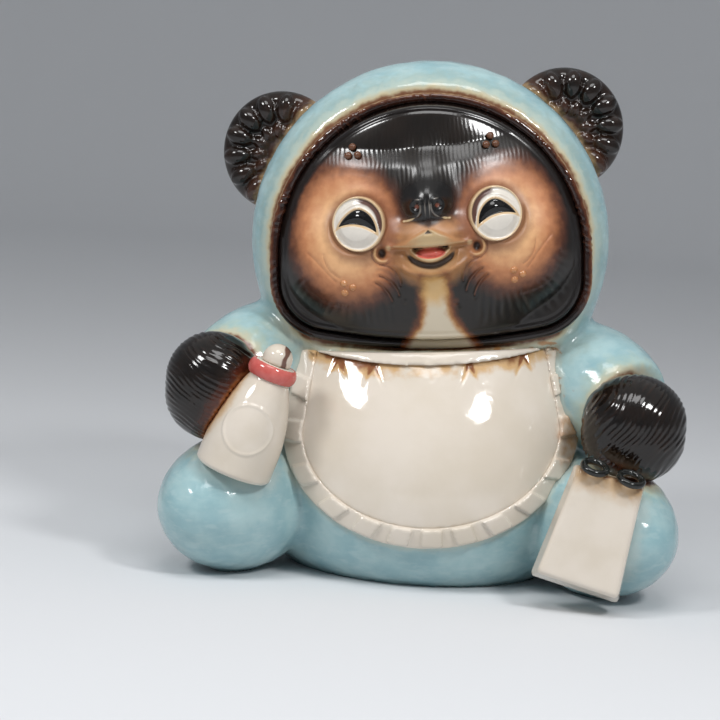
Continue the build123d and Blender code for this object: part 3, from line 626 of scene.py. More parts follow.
sheet = bmesh.new()
bmesh.ops.create_grid(
    sheet,
    x_segments=int(2 * FACE_REACH[0] / FACE_STEP),
    y_segments=int(2 * FACE_REACH[1] / FACE_STEP),
    size=1.0,
    matrix=Matrix.Diagonal((FACE_REACH[0], FACE_REACH[1], 1.0, 1.0)),
)
bmesh.ops.translate(sheet, verts=sheet.verts, vec=(0, FACE_MIDDLE, 0))
bmesh.ops.scale(sheet, verts=sheet.verts, vec=(MM, MM, MM))
beyond = [vert for vert in sheet.verts if face_margin(vert.co.x / MM, vert.co.y / MM) < -FACE_SKIRT]
bmesh.ops.delete(sheet, geom=beyond, context="VERTS")
relief = to_piece("face_sheet", sheet)
across, up, flat = points_of(relief).T
mirrored = np.abs(across)
aside = across - SNOUT_ACROSS
off_centre = np.abs(aside)
margin = face_margin(across, up)


def from_head(across, up, out):
    """Points in mm from places in the head's tilted frame."""
    places = HEAD_PLACE + np.outer(across, HEAD_ACROSS) + np.outer(up, HEAD_UP)
    places[:, 1] -= out
    return places


def lump(u, v, half_width, half_height, seat, rise):
    """Front of a round lump of clay set on the face, as its depth in the head's frame."""
    left = 1 - ((across - u) / half_width) ** 2 - ((up - v) / half_height) ** 2
    return np.where(left > 0, seat + rise * np.sqrt(np.maximum(left, 0)), seat - LUMP_BURIED)


def swell(u, v, half_width, half_height, rise):
    """A soft mound of clay worked into the face, as the height it adds."""
    ring = ((across - u) / half_width) ** 2 + ((up - v) / half_height) ** 2
    return rise * np.exp(-(ring**SWELL_FULLNESS))


def press(base, other, soft):
    """Two clays pressed together, the nearer one showing, with a joint of the given softness in mm."""
    return (base + other + np.hypot(base - other, soft)) / 2


def oval(u, v, half_width, half_height):
    """How far inside an oval each place lies, in mm, and less than nothing outside it."""
    ring = np.hypot((across - u) / half_width, (up - v) / half_height)
    return (1 - ring) * min(half_width, half_height)


def stroke(line, side):
    """Distance in mm from each place to a tool stroke through three points of the face's given side."""
    start, bend, end = (np.array((u * side, v)) for u, v in line)
    steps = np.linspace(0, 1, STROKE_STEPS)[:, None]
    pull = 2 * bend - (start + end) / 2
    path = (1 - steps) ** 2 * start + 2 * steps * (1 - steps) * pull + steps**2 * end
    return np.min([np.hypot(across - u, up - v) for u, v in path], axis=0)


def inside(distance, edge, fade):
    """1 at distances well inside an edge, fading over the given length in mm to 0 at the edge."""
    return np.clip((edge - distance) / fade, 0, 1)


def hump(distance, width):
    """A soft rise that is 1 on a line and fades over the given width in mm."""
    return np.exp(-((distance / width) ** 2))


def ease(share):
    """A share held between 0 and 1, with a soft start and a soft end."""
    share = np.clip(share, 0, 1)
    return share * share * (3 - 2 * share)


depth = DOME_FRONT - DOME_RADIUS + np.sqrt(DOME_RADIUS**2 - across**2 - (up - DOME_UP) ** 2)
for side in (-1, 1):
    depth = press(depth, lump(CHEEK_LUMP[0] * side, *CHEEK_LUMP[1:]), CHEEK_SOFT)
depth = press(depth, EDGE_DEPTH, EDGE_SOFT)
eye_ring = np.hypot(mirrored - EYE_ACROSS, up - EYE_UP)
eye_tilt = np.array((EYE_ACROSS, EYE_UP - DOME_UP, sqrt(DOME_RADIUS**2 - EYE_ACROSS**2)))
eye_seat = EYE_SET + DOME_FRONT - DOME_RADIUS
eye_seat += sqrt(DOME_RADIUS**2 - EYE_ACROSS**2 - eye_tilt[1] ** 2)
lean = ((mirrored - EYE_ACROSS) * eye_tilt[0] + (up - EYE_UP) * eye_tilt[1]) / eye_tilt[2]
socket = eye_seat - lean + SOCKET_RISE
socket += SOCKET_SLOPE * np.maximum(eye_ring - EYE_RADIUS - SOCKET_GAP, 0)
depth = -press(-depth, -socket, SOCKET_SOFT)
depth += PUFF_RISE * hump(eye_ring - PUFF_RADIUS, PUFF_WIDTH) + swell(*BRIDGE_SWELL)
over_brow = up - BROW_UP - BROW_CURVE * (aside / BROW_SPAN) ** 2
ledge = BROW_UPRIGHT * np.maximum(over_brow - LEDGE_HEIGHT / 2, 0)
ledge -= BROW_LEDGE * ease(over_brow / LEDGE_HEIGHT + 0.5)
depth += ledge * hump(aside, LEDGE_REACH)

mouth = MOUTH_UP + (MOUTH_CORNER[1] - MOUTH_UP) * (aside / MOUTH_CORNER[0]) ** 2
upper = ease((up - mouth + MOUTH_SOFT / 2) / MOUTH_SOFT)
jaw_depth = depth + swell(*JAW_SWELL)
lip_line = LIP_UP + (LIP_END_UP - LIP_UP) * (aside / LIP_HALF_WIDTH) ** 2
inside_mouth = np.clip(up - lip_line, 0, 1) * inside(off_centre, LIP_HALF_WIDTH, MOUTH_FADE)
jaw_depth -= MOUTH_DEPTH * inside_mouth
lower_lip = inside(off_centre, LIP_HALF_WIDTH + LIP_PAST, LIP_FADE)
lower_lip *= hump(up - lip_line + LIP_DROP, LIP_WIDTH)
jaw_depth += LIP_RISE * lower_lip
gap_line = GAP_UP + (GAP_END_UP - GAP_UP) * (aside / GAP_HALF_WIDTH) ** 2
gap = inside(off_centre, GAP_HALF_WIDTH + GAP_PAST, GAP_FADE) * hump(up - gap_line, GAP_WIDTH)
jaw_depth -= GAP_DEPTH * gap
chin = hump(up - CHIN_UP - CHIN_CURVE * (aside / CHIN_SPAN) ** 2, CHIN_WIDTH)
chin *= inside(off_centre, CHIN_HALF_WIDTH, CHIN_FADE)
jaw_depth += CHIN_RISE * chin
tongue = oval(*TONGUE_LUMP[:4])
jaw_depth = press(jaw_depth, lump(*TONGUE_LUMP), TONGUE_SOFT)
under_roof = ROOF_UP - ROOF_SLOPE * off_centre - up
pad = ease(under_roof / PAD_EDGE + 0.5) * inside(off_centre, PAD_HALF_WIDTH, PAD_FADE)
mouth_lip = hump(up - mouth - UPPER_LIP_UP, UPPER_LIP_WIDTH)
mouth_lip *= inside(mirrored, UPPER_LIP_REACH, UPPER_LIP_FADE)
muzzle_depth = depth + swell(*MUZZLE_SWELL) + LIP_PAD * pad + MOUTH_EDGE * mouth_lip
depth = jaw_depth + (muzzle_depth - jaw_depth) * upper + swell(*NOSE_SWELL)

nostrils = np.zeros_like(depth)
nose_ridge = np.zeros_like(depth)
wing_edge = np.zeros_like(depth)
for side in (-1, 1):
    depth += swell(SNOUT_ACROSS + WING_SWELL[0] * side, *WING_SWELL[1:])
    beside_hole = aside * side - NOSTRIL_PLACE[0]
    hole = np.hypot(beside_hole, up - NOSTRIL_PLACE[1])
    nostrils = np.maximum(nostrils, hump(hole, NOSTRIL_RADIUS))
    leaning = beside_hole + NOSTRIL_LEAN * (up - NOSTRIL_PLACE[1])
    outer_half = np.clip(0.5 + leaning / NOSTRIL_FADE, 0, 1)
    nose_ridge = np.maximum(nose_ridge, hump(hole - NOSTRIL_RING, NOSTRIL_RIM) * outer_half)
    wing_edge = np.maximum(wing_edge, hump(stroke(WING_LINE, side), RIDGE_WIDTH))
    septum = hump(aside - SEPTUM_ACROSS * side, SEPTUM_WIDTH) * hump(up - SEPTUM_UP, SEPTUM_HEIGHT)
    nose_ridge = np.maximum(nose_ridge, septum)
nose_ridge = np.maximum(nose_ridge, wing_edge)
notch = np.minimum(up - NOTCH_LOW, NOTCH_TOP - up - np.abs(aside - NOTCH_ACROSS))
notch = ease(notch / NOTCH_EDGE + 0.5)
depth += RIDGE_RISE * nose_ridge - NOSTRIL_DEPTH * nostrils - NOTCH_DEPTH * notch

bulb = np.zeros_like(depth)
curl = np.zeros_like(depth)
dimple = np.zeros_like(depth)
creases = np.zeros_like(depth)
smile = np.zeros_like(depth)
for side in (-1, 1):
    bulb = np.maximum(bulb, hump(np.hypot(across - BULB[0] * side, up - BULB[1]), BULB[2]))
    beside_curl, over_curl = (across - CURL[0] * side) * side, up - CURL[1]
    ring = np.hypot(beside_curl, over_curl)
    leaning = beside_curl * CURL_TOWARD[0] + over_curl * CURL_TOWARD[1]
    outer_half = np.clip(0.5 + leaning / CURL_FADE, 0, 1)
    curl = np.maximum(curl, hump(ring - CURL[2], CURL_WIDTH) * outer_half)
    pit = np.hypot(beside_curl - DIMPLE_ASIDE, over_curl * DIMPLE_STRETCH)
    dimple = np.maximum(dimple, hump(pit, DIMPLE_RADIUS))
    round_curl = hump(ring - CURL[2] - CURL_CREASE, CREASE_WIDTH)
    creases = np.maximum(creases, CURL_LINE * round_curl * outer_half)
    smile = np.maximum(smile, hump(stroke(SMILE_FOLD, side), SMILE_WIDTH))
    for line in SMILE_CREASES:
        creases = np.maximum(creases, hump(stroke(line, side), CREASE_WIDTH))
        depth += CREASE_BANK * hump(stroke(line, side) - BANK_ASIDE, BANK_WIDTH)
    for line in CHEEK_CREASES:
        creases = np.maximum(creases, CHEEK_LINE * hump(stroke(line, side), CREASE_WIDTH))
for pin_across, pin_up in PIN_PLACES:
    depth += PIN_RISE * hump(np.hypot(across - pin_across, up - pin_up), PIN_RADIUS)
folds = BULB_RISE * bulb + CURL_RISE * curl - DIMPLE_PRESS * dimple
depth += folds - CREASE_DEPTH * creases + SMILE_RISE * smile

cheek = np.maximum(oval(*RIGHT_TAN), oval(*LEFT_TAN))
clear = inside(mirrored, CLEAR_REACH, CLEAR_FADE) * (up < CLEAR_TOP)
fur = np.clip(FUR_START - cheek / FUR_FADE, 0, 1) * np.clip((margin - FUR_MARGIN) / FUR_FADE, 0, 1)
fur *= 1 - clear
shiver = ripple(np.column_stack((across, up, flat)), SHIVER_SIZE)
spread = across * (1 + BROW_SPREAD * (up - SPREAD_UP))
brow = np.sin(2 * pi * (spread + BROW_SHIVER * shiver) / BROW_PITCH)
worn = 1 - BROW_WORN * ease((over_brow - WORN_OVER) / WORN_FADE)
brow *= fur * ease((up - BROW_LOWEST) / BROW_FADE) * worn
jowl_angle = np.arctan2(up - JOWL_PLACE[1], mirrored - JOWL_PLACE[0])
jowl = np.sin(JOWL_LINES * jowl_angle + JOWL_SHIVER * shiver)
from_chin = np.clip((mirrored - JOWL_INNER) / JOWL_SOFT, 0, 1)
from_rim = ease((margin - JOWL_MARGIN) / JOWL_SOFT)
jowl *= fur * ease((JOWL_TOP - up) / JOWL_FADE) * from_chin * from_rim
depth += BROW_COMB * brow + JOWL_COMB * jowl - GROOVE_DEPTH * hump(margin - GROOVE_MARGIN, GROOVE_WIDTH)
edge = np.clip(margin / RIM_ROUND, 0, 1)
depth -= np.maximum(depth - RIM_DEPTH, 0) * (1 - np.sqrt(1 - (1 - edge) ** 2))
depth -= SKIRT_DROP * np.clip(-margin / FACE_SKIRT, 0, 1)
move_points(relief, from_head(across, up, depth))
as_clay(relief, 0, rounds=2)

snout = np.maximum(oval(*CHIN_TAN), oval(*LIP_TAN))
below_mouth = upper < 0.5
brush(relief, "cheek", cheek)
brush(relief, "snout", snout)
brush(relief, "pad", pad * (up > mouth) * hump(aside, PAD_TINT))
brush(relief, "nosepad", oval(*NOSE_BLACK))
# Painted shade: a dark V under the nose, above the lip pads.
brush(relief, "painted_philtrum_shade", np.minimum(up - ROOF_UP - PHILTRUM_SLOPE * off_centre, PHILTRUM_TOP - up))
# Painted highlight: light grey on the nostril rims, septum and inner wing lines, where ridges would catch
# the lamps.
brush(relief, "ridge", nose_ridge * inside(off_centre, RIDGE_REACH, RIDGE_FADE))
brush(relief, "nostril", nostrils)
brush(relief, "throat", in_throat(across, up))
brush(relief, "glow", oval(*THROAT_GLOW))
brush(relief, "socket", eye_ring - SOCKET_STAIN + SOCKET_SAG * (up - EYE_UP))
brush(relief, "crease", creases)
brush(relief, "comb", brow + jowl)
pale = np.maximum(0.6 * mouth_lip, wing_edge * np.clip((off_centre - WING_BLACK) / WING_FADE, 0, 1))
pale = np.maximum(np.maximum(pale, 0.4 * smile), 0.8 * bulb)
brush(relief, "lips", np.maximum(lower_lip * below_mouth, pale))
brush(relief, "curl", curl)
# Painted shade: near black inside the mouth under the upper lip, in the groove under the lower lip, in the
# dimples and in the notch.
painted_throat_shade = inside_mouth * (tongue < -TONGUE_GAP) * hump(up - mouth, THROAT_SHADE)
painted_mouth_shade = np.maximum(gap, painted_throat_shade) * below_mouth
brush(relief, "gap", np.maximum(painted_mouth_shade, np.maximum(dimple, 0.7 * notch)))
brush(relief, "tongue", np.where(below_mouth, tongue, -1.0))
brush(relief, "rim", margin)
satin = np.maximum(ease((np.maximum(cheek, snout) + TAN_OUTSIDE) / TAN_FADE), FUR_SATIN)
satin *= 1 - BROW_SHEEN * ease(over_brow / SHEEN_FADE)
satin = np.where(oval(*NOSE_SHINE) > 0, np.minimum(satin, NOSE_SATIN), satin)
brush(relief, "satin", np.where((tongue > 0) & below_mouth, TONGUE_SATIN, satin))

FACE_PARTS = ("face", "muzzle", "nose", "jaw", "tongue")
zone = np.zeros(len(depth), dtype=int)
zone[oval(*MUZZLE_CUT) > 0] = 1
zone[(oval(*JAW_CUT) > 0) & below_mouth] = 3
zone[oval(*NOSE_CUT) > 0] = 2
zone[(tongue > 0) & below_mouth] = 4
owners = [zone[face.vertices[0]] for face in relief.data.polygons]
face_pieces = split_skin(relief, owners, [f"{node}_relief" for node in FACE_PARTS])

# Face glaze: iron-black and tan sprayed under one clear glaze, so the colours fade into each other. The
# black fur is satin, the tan drier and the rim wet-looking, and cream is left bare at the throat and lips.
# Painted shade darkens the mouth, dimples, notch and the V under the nose, and painted highlights lighten
# the nose's ridges.
face_glaze = fired_glaze(
    "sprayed_face_glaze",
    ("#15110E", "#1E1712"),
    (
        ("comb", 0.1, 0.9, "#1F1C17", 0.0, 0.7),
        ("comb", -0.2, -0.9, "#0B0908", 0.0, 0.7),
        ("cheek", -5.0, 2.5, "#5E3422", 1.2, 0.95),
        ("cheek", -1.0, 7.5, "#BC7C52", 1.2, 1.0),
        ("cheek", 4.5, 16.0, "#E2B180", 2.0, 0.95),
        ("snout", -1.0, 6.0, "#B37F52", 0.8, 0.95),
        ("snout", 5.0, 12.0, "#C9A070", 0.8, 0.8),
        ("pad", 0.3, 0.95, "#B3A07A", 0.15, 0.75),
        ("socket", 6.0, 0.5, "#6E3F2C", 0.6, 0.7),
        # Painted shade under the nose.
        ("painted_philtrum_shade", -0.9, 1.6, "#2A1C19", 0.3, 0.9),
        ("nosepad", -3.0, 1.5, "#12100F", 0.8, 1.0),
        # Painted highlight on the nose's ridges.
        ("ridge", 0.4, 0.95, "#8A837B", 0.0, 0.7),
        ("nostril", 0.55, 0.95, "#8A4B36", 0.0, 0.8),
        ("crease", 0.3, 0.95, "#6E4129", 0.0, 0.75),
        ("curl", 0.4, 0.9, "#D0A472", 0.0, 0.8),
        ("lips", 0.35, 0.9, "#D9BF94", 0.05, 0.85),
        # Painted shade in the mouth, the lip groove, the dimples and the notch.
        ("gap", 0.3, 0.75, "#2A1F1B", 0.0, 0.95),
        ("tongue", -0.2, 0.4, "#DE6A5B", 0.0, 1.0),
        ("rim", 5.5, 3.0, "#130D0B", 0.5, 0.95),
        ("throat", -4.5, -0.5, "#7A4220", 1.2, 0.95),
        ("throat", -1.8, 1.5, "#C48F52", 0.8, 0.9),
        ("throat", -0.2, 3.2, "#DACDB5", 0.8, 1.0),
        ("glow", -1.5, 4.0, "#DDB06A", 0.8, 0.8),
    ),
    cloud=12.0,
    gloss=0.1,
    dull=("satin", 0.0, 1.0, 0.42),
)
FACE_SLOTS = ("face_glaze", "face_glaze", "fur_glaze", "cream_glaze", "tongue_glaze")
for piece, node, slot in zip(face_pieces, FACE_PARTS, FACE_SLOTS):
    finish_piece(piece, face_glaze, slot, node)


# Pellets: four groups of three clay pills stuck on the brows and cheeks, under the same clear glaze.
# They are soft balls no bigger than a lentil, dark on the brow and brown on the cheek.
pellets = to_piece("clay_pellets", cad_copy("face_pellets"))
brush(pellets, "up", in_head(points_of(pellets))[1])
# Clear glaze over tan and brown slip: a smooth wet skin, so that each pill shows one small light.
pellet_coats = (("up", 20.0, 40.0, "#553425", 0.0, 0.9),)
pellet_glaze = fired_glaze("pellet_glaze", ("#C68F62", "#B27A50"), pellet_coats, cloud=3.0)
finish_piece(pellets, pellet_glaze, "pellet_glaze", "face_pellets")


# Eyes: white domes with a thin rim, a puffed lower lid and a black half-moon let in above it. Each is
# pressed on its own and set on the cheek, then covered by the white and black glazes.
EYE_STEPS = 144
EYE_RINGS = 56
EYE_RISE = 4.6
EYE_REACH = 15.0
EYE_SINK = 1.0
EYE_WALL = 4.5
EYE_RIM = 11.6
EYE_RIM_WIDTH = 0.6
EYE_RIM_RISE = 0.8
RIM_HOLLOW = 0.25
HOLLOW_INSET = 1.3
HOLLOW_WIDTH = 0.7
MOON_OUTER = (9.2, -0.9)
MOON_SLOPE = (4.8, 4.0)
MOON_TOP = (-0.5, 7.1)
MOON_STEEP = (-5.6, 3.9)
MOON_INNER = (-8.4, -4.1)
MOON_LOW = (0.9, 0.0)
MOON_SOFT = 1.6
MOON_EDGE = 0.45
MOON_SINK = 0.3
MOON_STEP = 0.4
MOON_EDGE_OUT = 0.7
MOON_EDGE_WIDTH = 0.5
INLAY_REACH = 9.8
INLAY_FADE = 2.5
LID_PUFF = 1.2
LID_EDGE = 1.5
LID_HEIGHT = 12.0
LID_FADE = 10.0
LID_FOLD = 2.3
FOLD_RISE = 0.25
FOLD_WIDTH = 0.45
PUPIL_POOL = 1.0
POOL_EDGE = 3.2
NOSE_SIDE = (-0.85, 0.53)
INNER_RING = 7.8
INNER_FADE = 2.2
INNER_SHARE = 0.4
INNER_GAP = 1.2
FULL_TURN = {"axis": (0, 0, 1), "cent": (0, 0, 0), "angle": 2 * pi, "use_merge": True}


def circle_through(a, b, c):
    """Centre and radius of the circle through three places."""
    a, b, c = (complex(*p) for p in (a, b, c))
    w = (c - a) / (b - a)
    centre = (b - a) * (w - abs(w) ** 2) / (2j * w.imag) + a
    return centre.real, centre.imag, abs(a - centre)


eye_pieces = []
for side, name in ((-1, "right"), (1, "left")):
    shape = bmesh.new()
    profile = []
    for step in range(EYE_RINGS + 1):
        radius = EYE_RADIUS * step / EYE_RINGS
        height = EYE_RISE * sqrt(max(1 - (radius / EYE_REACH) ** 2, 0)) - EYE_SINK
        rim = EYE_RIM_RISE * hump(radius - EYE_RIM, EYE_RIM_WIDTH)
        height += rim - RIM_HOLLOW * hump(radius - EYE_RIM + HOLLOW_INSET, HOLLOW_WIDTH)
        if radius > EYE_RIM:
            height -= EYE_WALL * ((radius - EYE_RIM) / (EYE_RADIUS - EYE_RIM)) ** 2
        profile.append(shape.verts.new((radius * MM, 0.0, height * MM)))
    edges = [shape.edges.new(pair) for pair in zip(profile, profile[1:])]
    bmesh.ops.spin(shape, geom=profile + edges, steps=EYE_STEPS, **FULL_TURN)
    bmesh.ops.remove_doubles(shape, verts=shape.verts, dist=0.002 * MM)
    bmesh.ops.recalc_face_normals(shape, faces=shape.faces)
    eye = to_piece(f"{name}_eye_dome", shape)
    a, b, c = points_of(eye).T
    a = a * side
    ring = np.hypot(a, b)
    u0, v0, r0 = circle_through(MOON_INNER, MOON_STEEP, MOON_TOP)
    u1, v1, r1 = circle_through(MOON_TOP, MOON_SLOPE, MOON_OUTER)
    u2, v2, r2 = circle_through(MOON_OUTER, MOON_LOW, MOON_INNER)
    over_lid = np.hypot(a - u2, b - v2) - r2
    under_brow = -press(np.hypot(a - u0, b - v0) - r0, np.hypot(a - u1, b - v1) - r1, MOON_SOFT)
    moon = np.minimum(under_brow, over_lid)
    inlay = inside(ring, INLAY_REACH, INLAY_FADE)
    fold = hump(moon + LID_FOLD, FOLD_WIDTH) * (over_lid > 0) * inlay
    c = c + LID_PUFF * inlay * ease(-over_lid / LID_EDGE) * ease((over_lid + LID_HEIGHT) / LID_FADE)
    bank = MOON_EDGE * hump(moon + MOON_EDGE_OUT, MOON_EDGE_WIDTH)
    bank = bank - MOON_SINK * np.clip(moon / MOON_STEP, 0, 1)
    c = c + inlay * bank + FOLD_RISE * fold
    c = c + PUPIL_POOL * ease(moon / POOL_EDGE)
    tilt = eye_tilt * (side, 1, 1) / np.linalg.norm(eye_tilt)
    sideways = np.cross((0, 1, 0), tilt)
    sideways = sideways / np.linalg.norm(sideways)
    upright = np.cross(tilt, sideways)
    place = np.outer(a * side, sideways) + np.outer(b, upright) + np.outer(c, tilt)
    place += (EYE_ACROSS * side, EYE_UP, eye_seat)
    move_points(eye, from_head(*place.T))
    inward = (NOSE_SIDE[0] * a + NOSE_SIDE[1] * b) / np.maximum(ring, 1.0)
    corner = ease((ring - INNER_RING) / INNER_FADE) * ease((inward - INNER_SHARE) / INNER_SHARE)
    brush(eye, "inner", corner * (moon < -INNER_GAP))
    brush(eye, "moon", moon)
    brush(eye, "ring", ring)
    brush(eye, "fold", fold)
    eye_pieces.append((eye, name))
# White tin glaze with a glassy black one let in: the white is a little dulled and stained tan at its edges
# and folds, with a thin dark brown line of painted shadow round its foot, and the black is wet-looking, so
# that it catches the lamps as small glints.
eye_glaze = fired_glaze(
    "white_eye_glaze",
    ("#E4DDD2", "#DAD3C8"),
    (
        ("fold", 0.3, 1.0, "#B59C80", 0.0, 0.6),
        ("inner", 0.1, 0.8, "#4C2418", 0.05, 0.95),
        ("ring", 10.7, 11.3, "#D9BC92", 0.1, 0.85),
        # Painted shadow: a thin dark brown line round the foot of the dome, where it meets the face.
        ("ring", 11.8, 12.2, "#7A4A30", 0.05, 0.9),
        ("moon", -1.2, -0.6, "#D3B387", 0.05, 0.9),
        ("moon", -0.15, 0.1, "#0A0909", 0.0, 1.0),
    ),
    cloud=9.0,
    gloss=0.06,
    pits=(4.0, 0.01),
    dull=("moon", 0.1, -0.2, 0.18),
)
for eye, name in eye_pieces:
    finish_piece(eye, eye_glaze, "eye_glaze", f"{name}_eye", f"{name}_pupil")


# Ears: round dishes pressed in a mould, with a rolled rim, a ring of scallops and a fan of ridges, luted
# to the sides of the hood. Iron glaze pools black in the hollows and breaks brown on the ridges.
EAR_GRID = 0.7
# Iron glaze fired to black: glassy and deep in the hollows, browner where it thins over the ridges, and
# tan beside the hood, where the two glazes met.
ear_coats = (
    ("ridge", 0.05, 0.5, "#3C241A", 0.1, 0.6),
    ("hood", 12.0, 2.0, "#4E3022", 2.0, 0.6),
    ("hood", 3.5, 0.5, "#A98E68", 1.0, 0.7),
)
ear_glaze = fired_glaze("iron_black_glaze", ("#15100D", "#221610"), ear_coats, cloud=8.0, gloss=0.1)
for name in ("right_ear", "left_ear"):
    ear = to_piece(f"{name}_dish", cad_copy(name))
    as_clay(ear, EAR_GRID, 0)
    sharp = points_of(ear)
    as_clay(ear, 0, rounds=4)
    brush(ear, "ridge", ((sharp - points_of(ear)) * normals_of(ear)).sum(axis=1))
    brush(ear, "hood", gap_to(points_of(ear), "head_shell"))
    finish_piece(ear, ear_glaze, "fur_glaze", name)


# Paws: solid lumps of clay combed with a toothed tool while soft, one gripping the flask and one the
# ledger. The iron glaze is black in the comb marks and breaks to reddish brown at the wrist.
PAW_GRID = 0.6
COMB_PITCH = 2.1
COMB_DEPTH = 0.2
COMB_WANDER = 2.6
WANDER_REACH = 15.0
DASH_WIDTH = 2.5
DASH_LENGTH = 6.0
DASH_EVEN = 0.55
DASH_UNEVEN = 1.1
DASH_LEAST = 0.05
RIGHT_SLANT = np.array((0.5, 0.0, 0.87))
LEFT_SLANT = np.array((0.87, 0.0, -0.5))
LEFT_STRETCH = 1.1


def combed(points, slant):
    """Broken strokes of a toothed tool across the given direction, between -1 and 1."""
    wander = COMB_WANDER * ripple(points, WANDER_REACH)
    lines = np.sin(2 * pi * (points @ slant + wander) / COMB_PITCH)
    along = points @ np.cross(slant, (0, 1, 0)) / DASH_LENGTH
    dashes = np.column_stack((points @ slant / DASH_WIDTH, along, points[:, 1] / DASH_LENGTH))
    return lines * np.clip(DASH_EVEN + DASH_UNEVEN * ripple(dashes, 1.0), DASH_LEAST, 1)


# Iron glaze over comb marks: black and glassy in the marks, and broken to red brown, rust and cream where
# it thins toward the sleeve and what the paw holds.
paw_glaze = fired_glaze(
    "combed_iron_glaze",
    ("#100C0A", "#1B130E"),
    (
        ("comb", 0.3, 1.0, "#2E1D15", 0.2, 0.5),
        ("sleeve", 9.0, 2.0, "#3E1E13", 1.5, 0.9),
        ("sleeve", 3.5, 0.6, "#6E3820", 1.0, 0.9),
        ("sleeve", 1.4, 0.2, "#B08E62", 0.5, 0.7),
        ("held", 8.0, 1.5, "#4E2414", 1.5, 0.9),
        ("held", 2.6, 0.4, "#8A4F28", 0.8, 0.9),
    ),
    cloud=7.0,
    gloss=0.1,
)
for name, held, slant in (("right_paw", "flask", RIGHT_SLANT), ("left_paw", "ledger", LEFT_SLANT)):
    paw = to_piece(f"{name}_combed", cad_copy(name))
    as_clay(paw, PAW_GRID, rounds=3)
    lumps = points_of(paw)
    comb = combed(lumps, slant)
    if name == "left_paw":
        lumps[:, 0] -= (LEFT_STRETCH - 1) * (lumps[:, 0].max() - lumps[:, 0])
    lumps += normals_of(paw) * (COMB_DEPTH * comb)[:, None]
    move_points(paw, lumps)
    brush(paw, "comb", comb)
    brush(paw, "sleeve", gap_to(lumps, f"{name[:-4]}_sleeve"))
    brush(paw, "held", gap_to(lumps, held))
    finish_piece(paw, paw_glaze, "fur_glaze", name)


# Bib, frill and neckband: a slab of white clay laid on the chest, with a pleated strip round it and a band
# at the neck that gathers the slab in pinched folds. All three are luted down with slip.
BIB_GRID = 0.8
FRILL_GRID = 0.6
BIB_PLACE = np.array((3.5, 0.0, 70.0))
BIB_TILT = radians(4.5)
BIB_ACROSS = np.array((cos(BIB_TILT), 0.0, sin(BIB_TILT)))
GATHERS = (-41.0, -25.0, 17.0, 41.0)
GATHER_SPREAD = 0.42
GATHER_WIDTH = 0.9
GATHER_LENGTH = 12.0
GATHER_DEPTH = 0.55
GLAZE_COAT = 0.25
STAIN_REACH = 9.0
STAIN_PATCH = 6.0
STAIN_EVEN = 0.42
STAIN_UNEVEN = 0.35
STAIN_SPOTS = ((-34.0, 13.0, 0.75), (36.0, 12.0, 0.45))
BAND_STAIN = 6.0
GATHER_STAIN = 4.0
BAND_GAP = 2.5
CLOTHS = (("bib", BIB_GRID, 3), ("bib_frill", FRILL_GRID, 3), ("bib_collar", BIB_GRID, 4))
# Clear glaze on cream clay: a thick glassy skin with broad soft waves, stained amber and brown where iron
# from the face and the paw ran down into the folds.
cream_glaze = fired_glaze(
    "clear_glaze_on_cream",
    ("#DDD3C6", "#D5CABA"),
    (
        ("fold", 0.1, 0.6, "#B39A76", 0.1, 0.4),
        ("run", 0.8, 3.0, "#C79B5C", 0.8, 0.8),
        ("run", 3.0, 5.2, "#7E4420", 0.7, 0.9),
        ("paw", 17.0, 7.0, "#B9803F", 3.0, 0.75),
        ("paw", 9.0, 4.5, "#6A3820", 2.0, 0.85),
    ),
    cloud=30.0,
    gloss=0.07,
    pits=(10.0, 0.14),
)
for name, grid, rounds in CLOTHS:
    cloth = to_piece(f"{name}_slab", cad_copy(name))
    as_clay(cloth, grid, 0)
    sharp = points_of(cloth)
    as_clay(cloth, 0, rounds)
    laid = points_of(cloth)
    below = gap_to(laid, "bib_collar") if name != "bib_collar" else gap_to(laid, "hood_trim") + BAND_GAP
    level = (laid - BIB_PLACE) @ BIB_ACROSS
    gather = np.zeros(len(laid))
    for start in GATHERS:
        for lean in (-GATHER_SPREAD, GATHER_SPREAD):
            gather = np.maximum(gather, hump(level - start - lean * below, GATHER_WIDTH))
    gather *= np.clip(1 - below / GATHER_LENGTH, 0, 1) * (name == "bib")
    brush(cloth, "fold", ((laid - sharp) * normals_of(cloth)).sum(axis=1))
    laid += normals_of(cloth) * (GLAZE_COAT - GATHER_DEPTH * gather)[:, None]
    move_points(cloth, laid)
    stain = np.full(len(laid), STAIN_EVEN)
    for place, width, share in STAIN_SPOTS:
        stain += share * hump(level - place, width)
    stain += STAIN_UNEVEN * ripple(laid, STAIN_PATCH)
    stain *= BAND_STAIN * np.clip(1 - below / STAIN_REACH, 0, 1)
    brush(cloth, "run", stain + GATHER_STAIN * gather)
    brush(cloth, "paw", gap_to(laid, "left_paw"))
    finish_piece(cloth, cream_glaze, "cream_glaze", name)


# Flask, cord and stopper: a bottle pressed in a mould with a plain ring on its front, a red cord of clay
# wound round its neck and a domed stopper, all held by the right paw and luted to it.
FLASK_GRID = 0.6
FLASK_PLACE = np.array((-82.0, -72.0, 48.0))
FLASK_LEAN = radians(18.5)
FLASK_AXIS = np.array((sin(FLASK_LEAN), 0.0, cos(FLASK_LEAN)))
FLASK_ACROSS = np.array((cos(FLASK_LEAN), 0.0, -sin(FLASK_LEAN)))
CREST_UP = 22.0
CREST_RADIUS = 10.5
CREST_RISE = 0.5
CREST_WIDTH = 0.6
STRIPE_ACROSS = 3.0
STRIPE_WIDTH = 1.7
STRIPE_WANDER = 1.6
STRIPE_WAVES = 4.0
CORD_GRID = 0.5
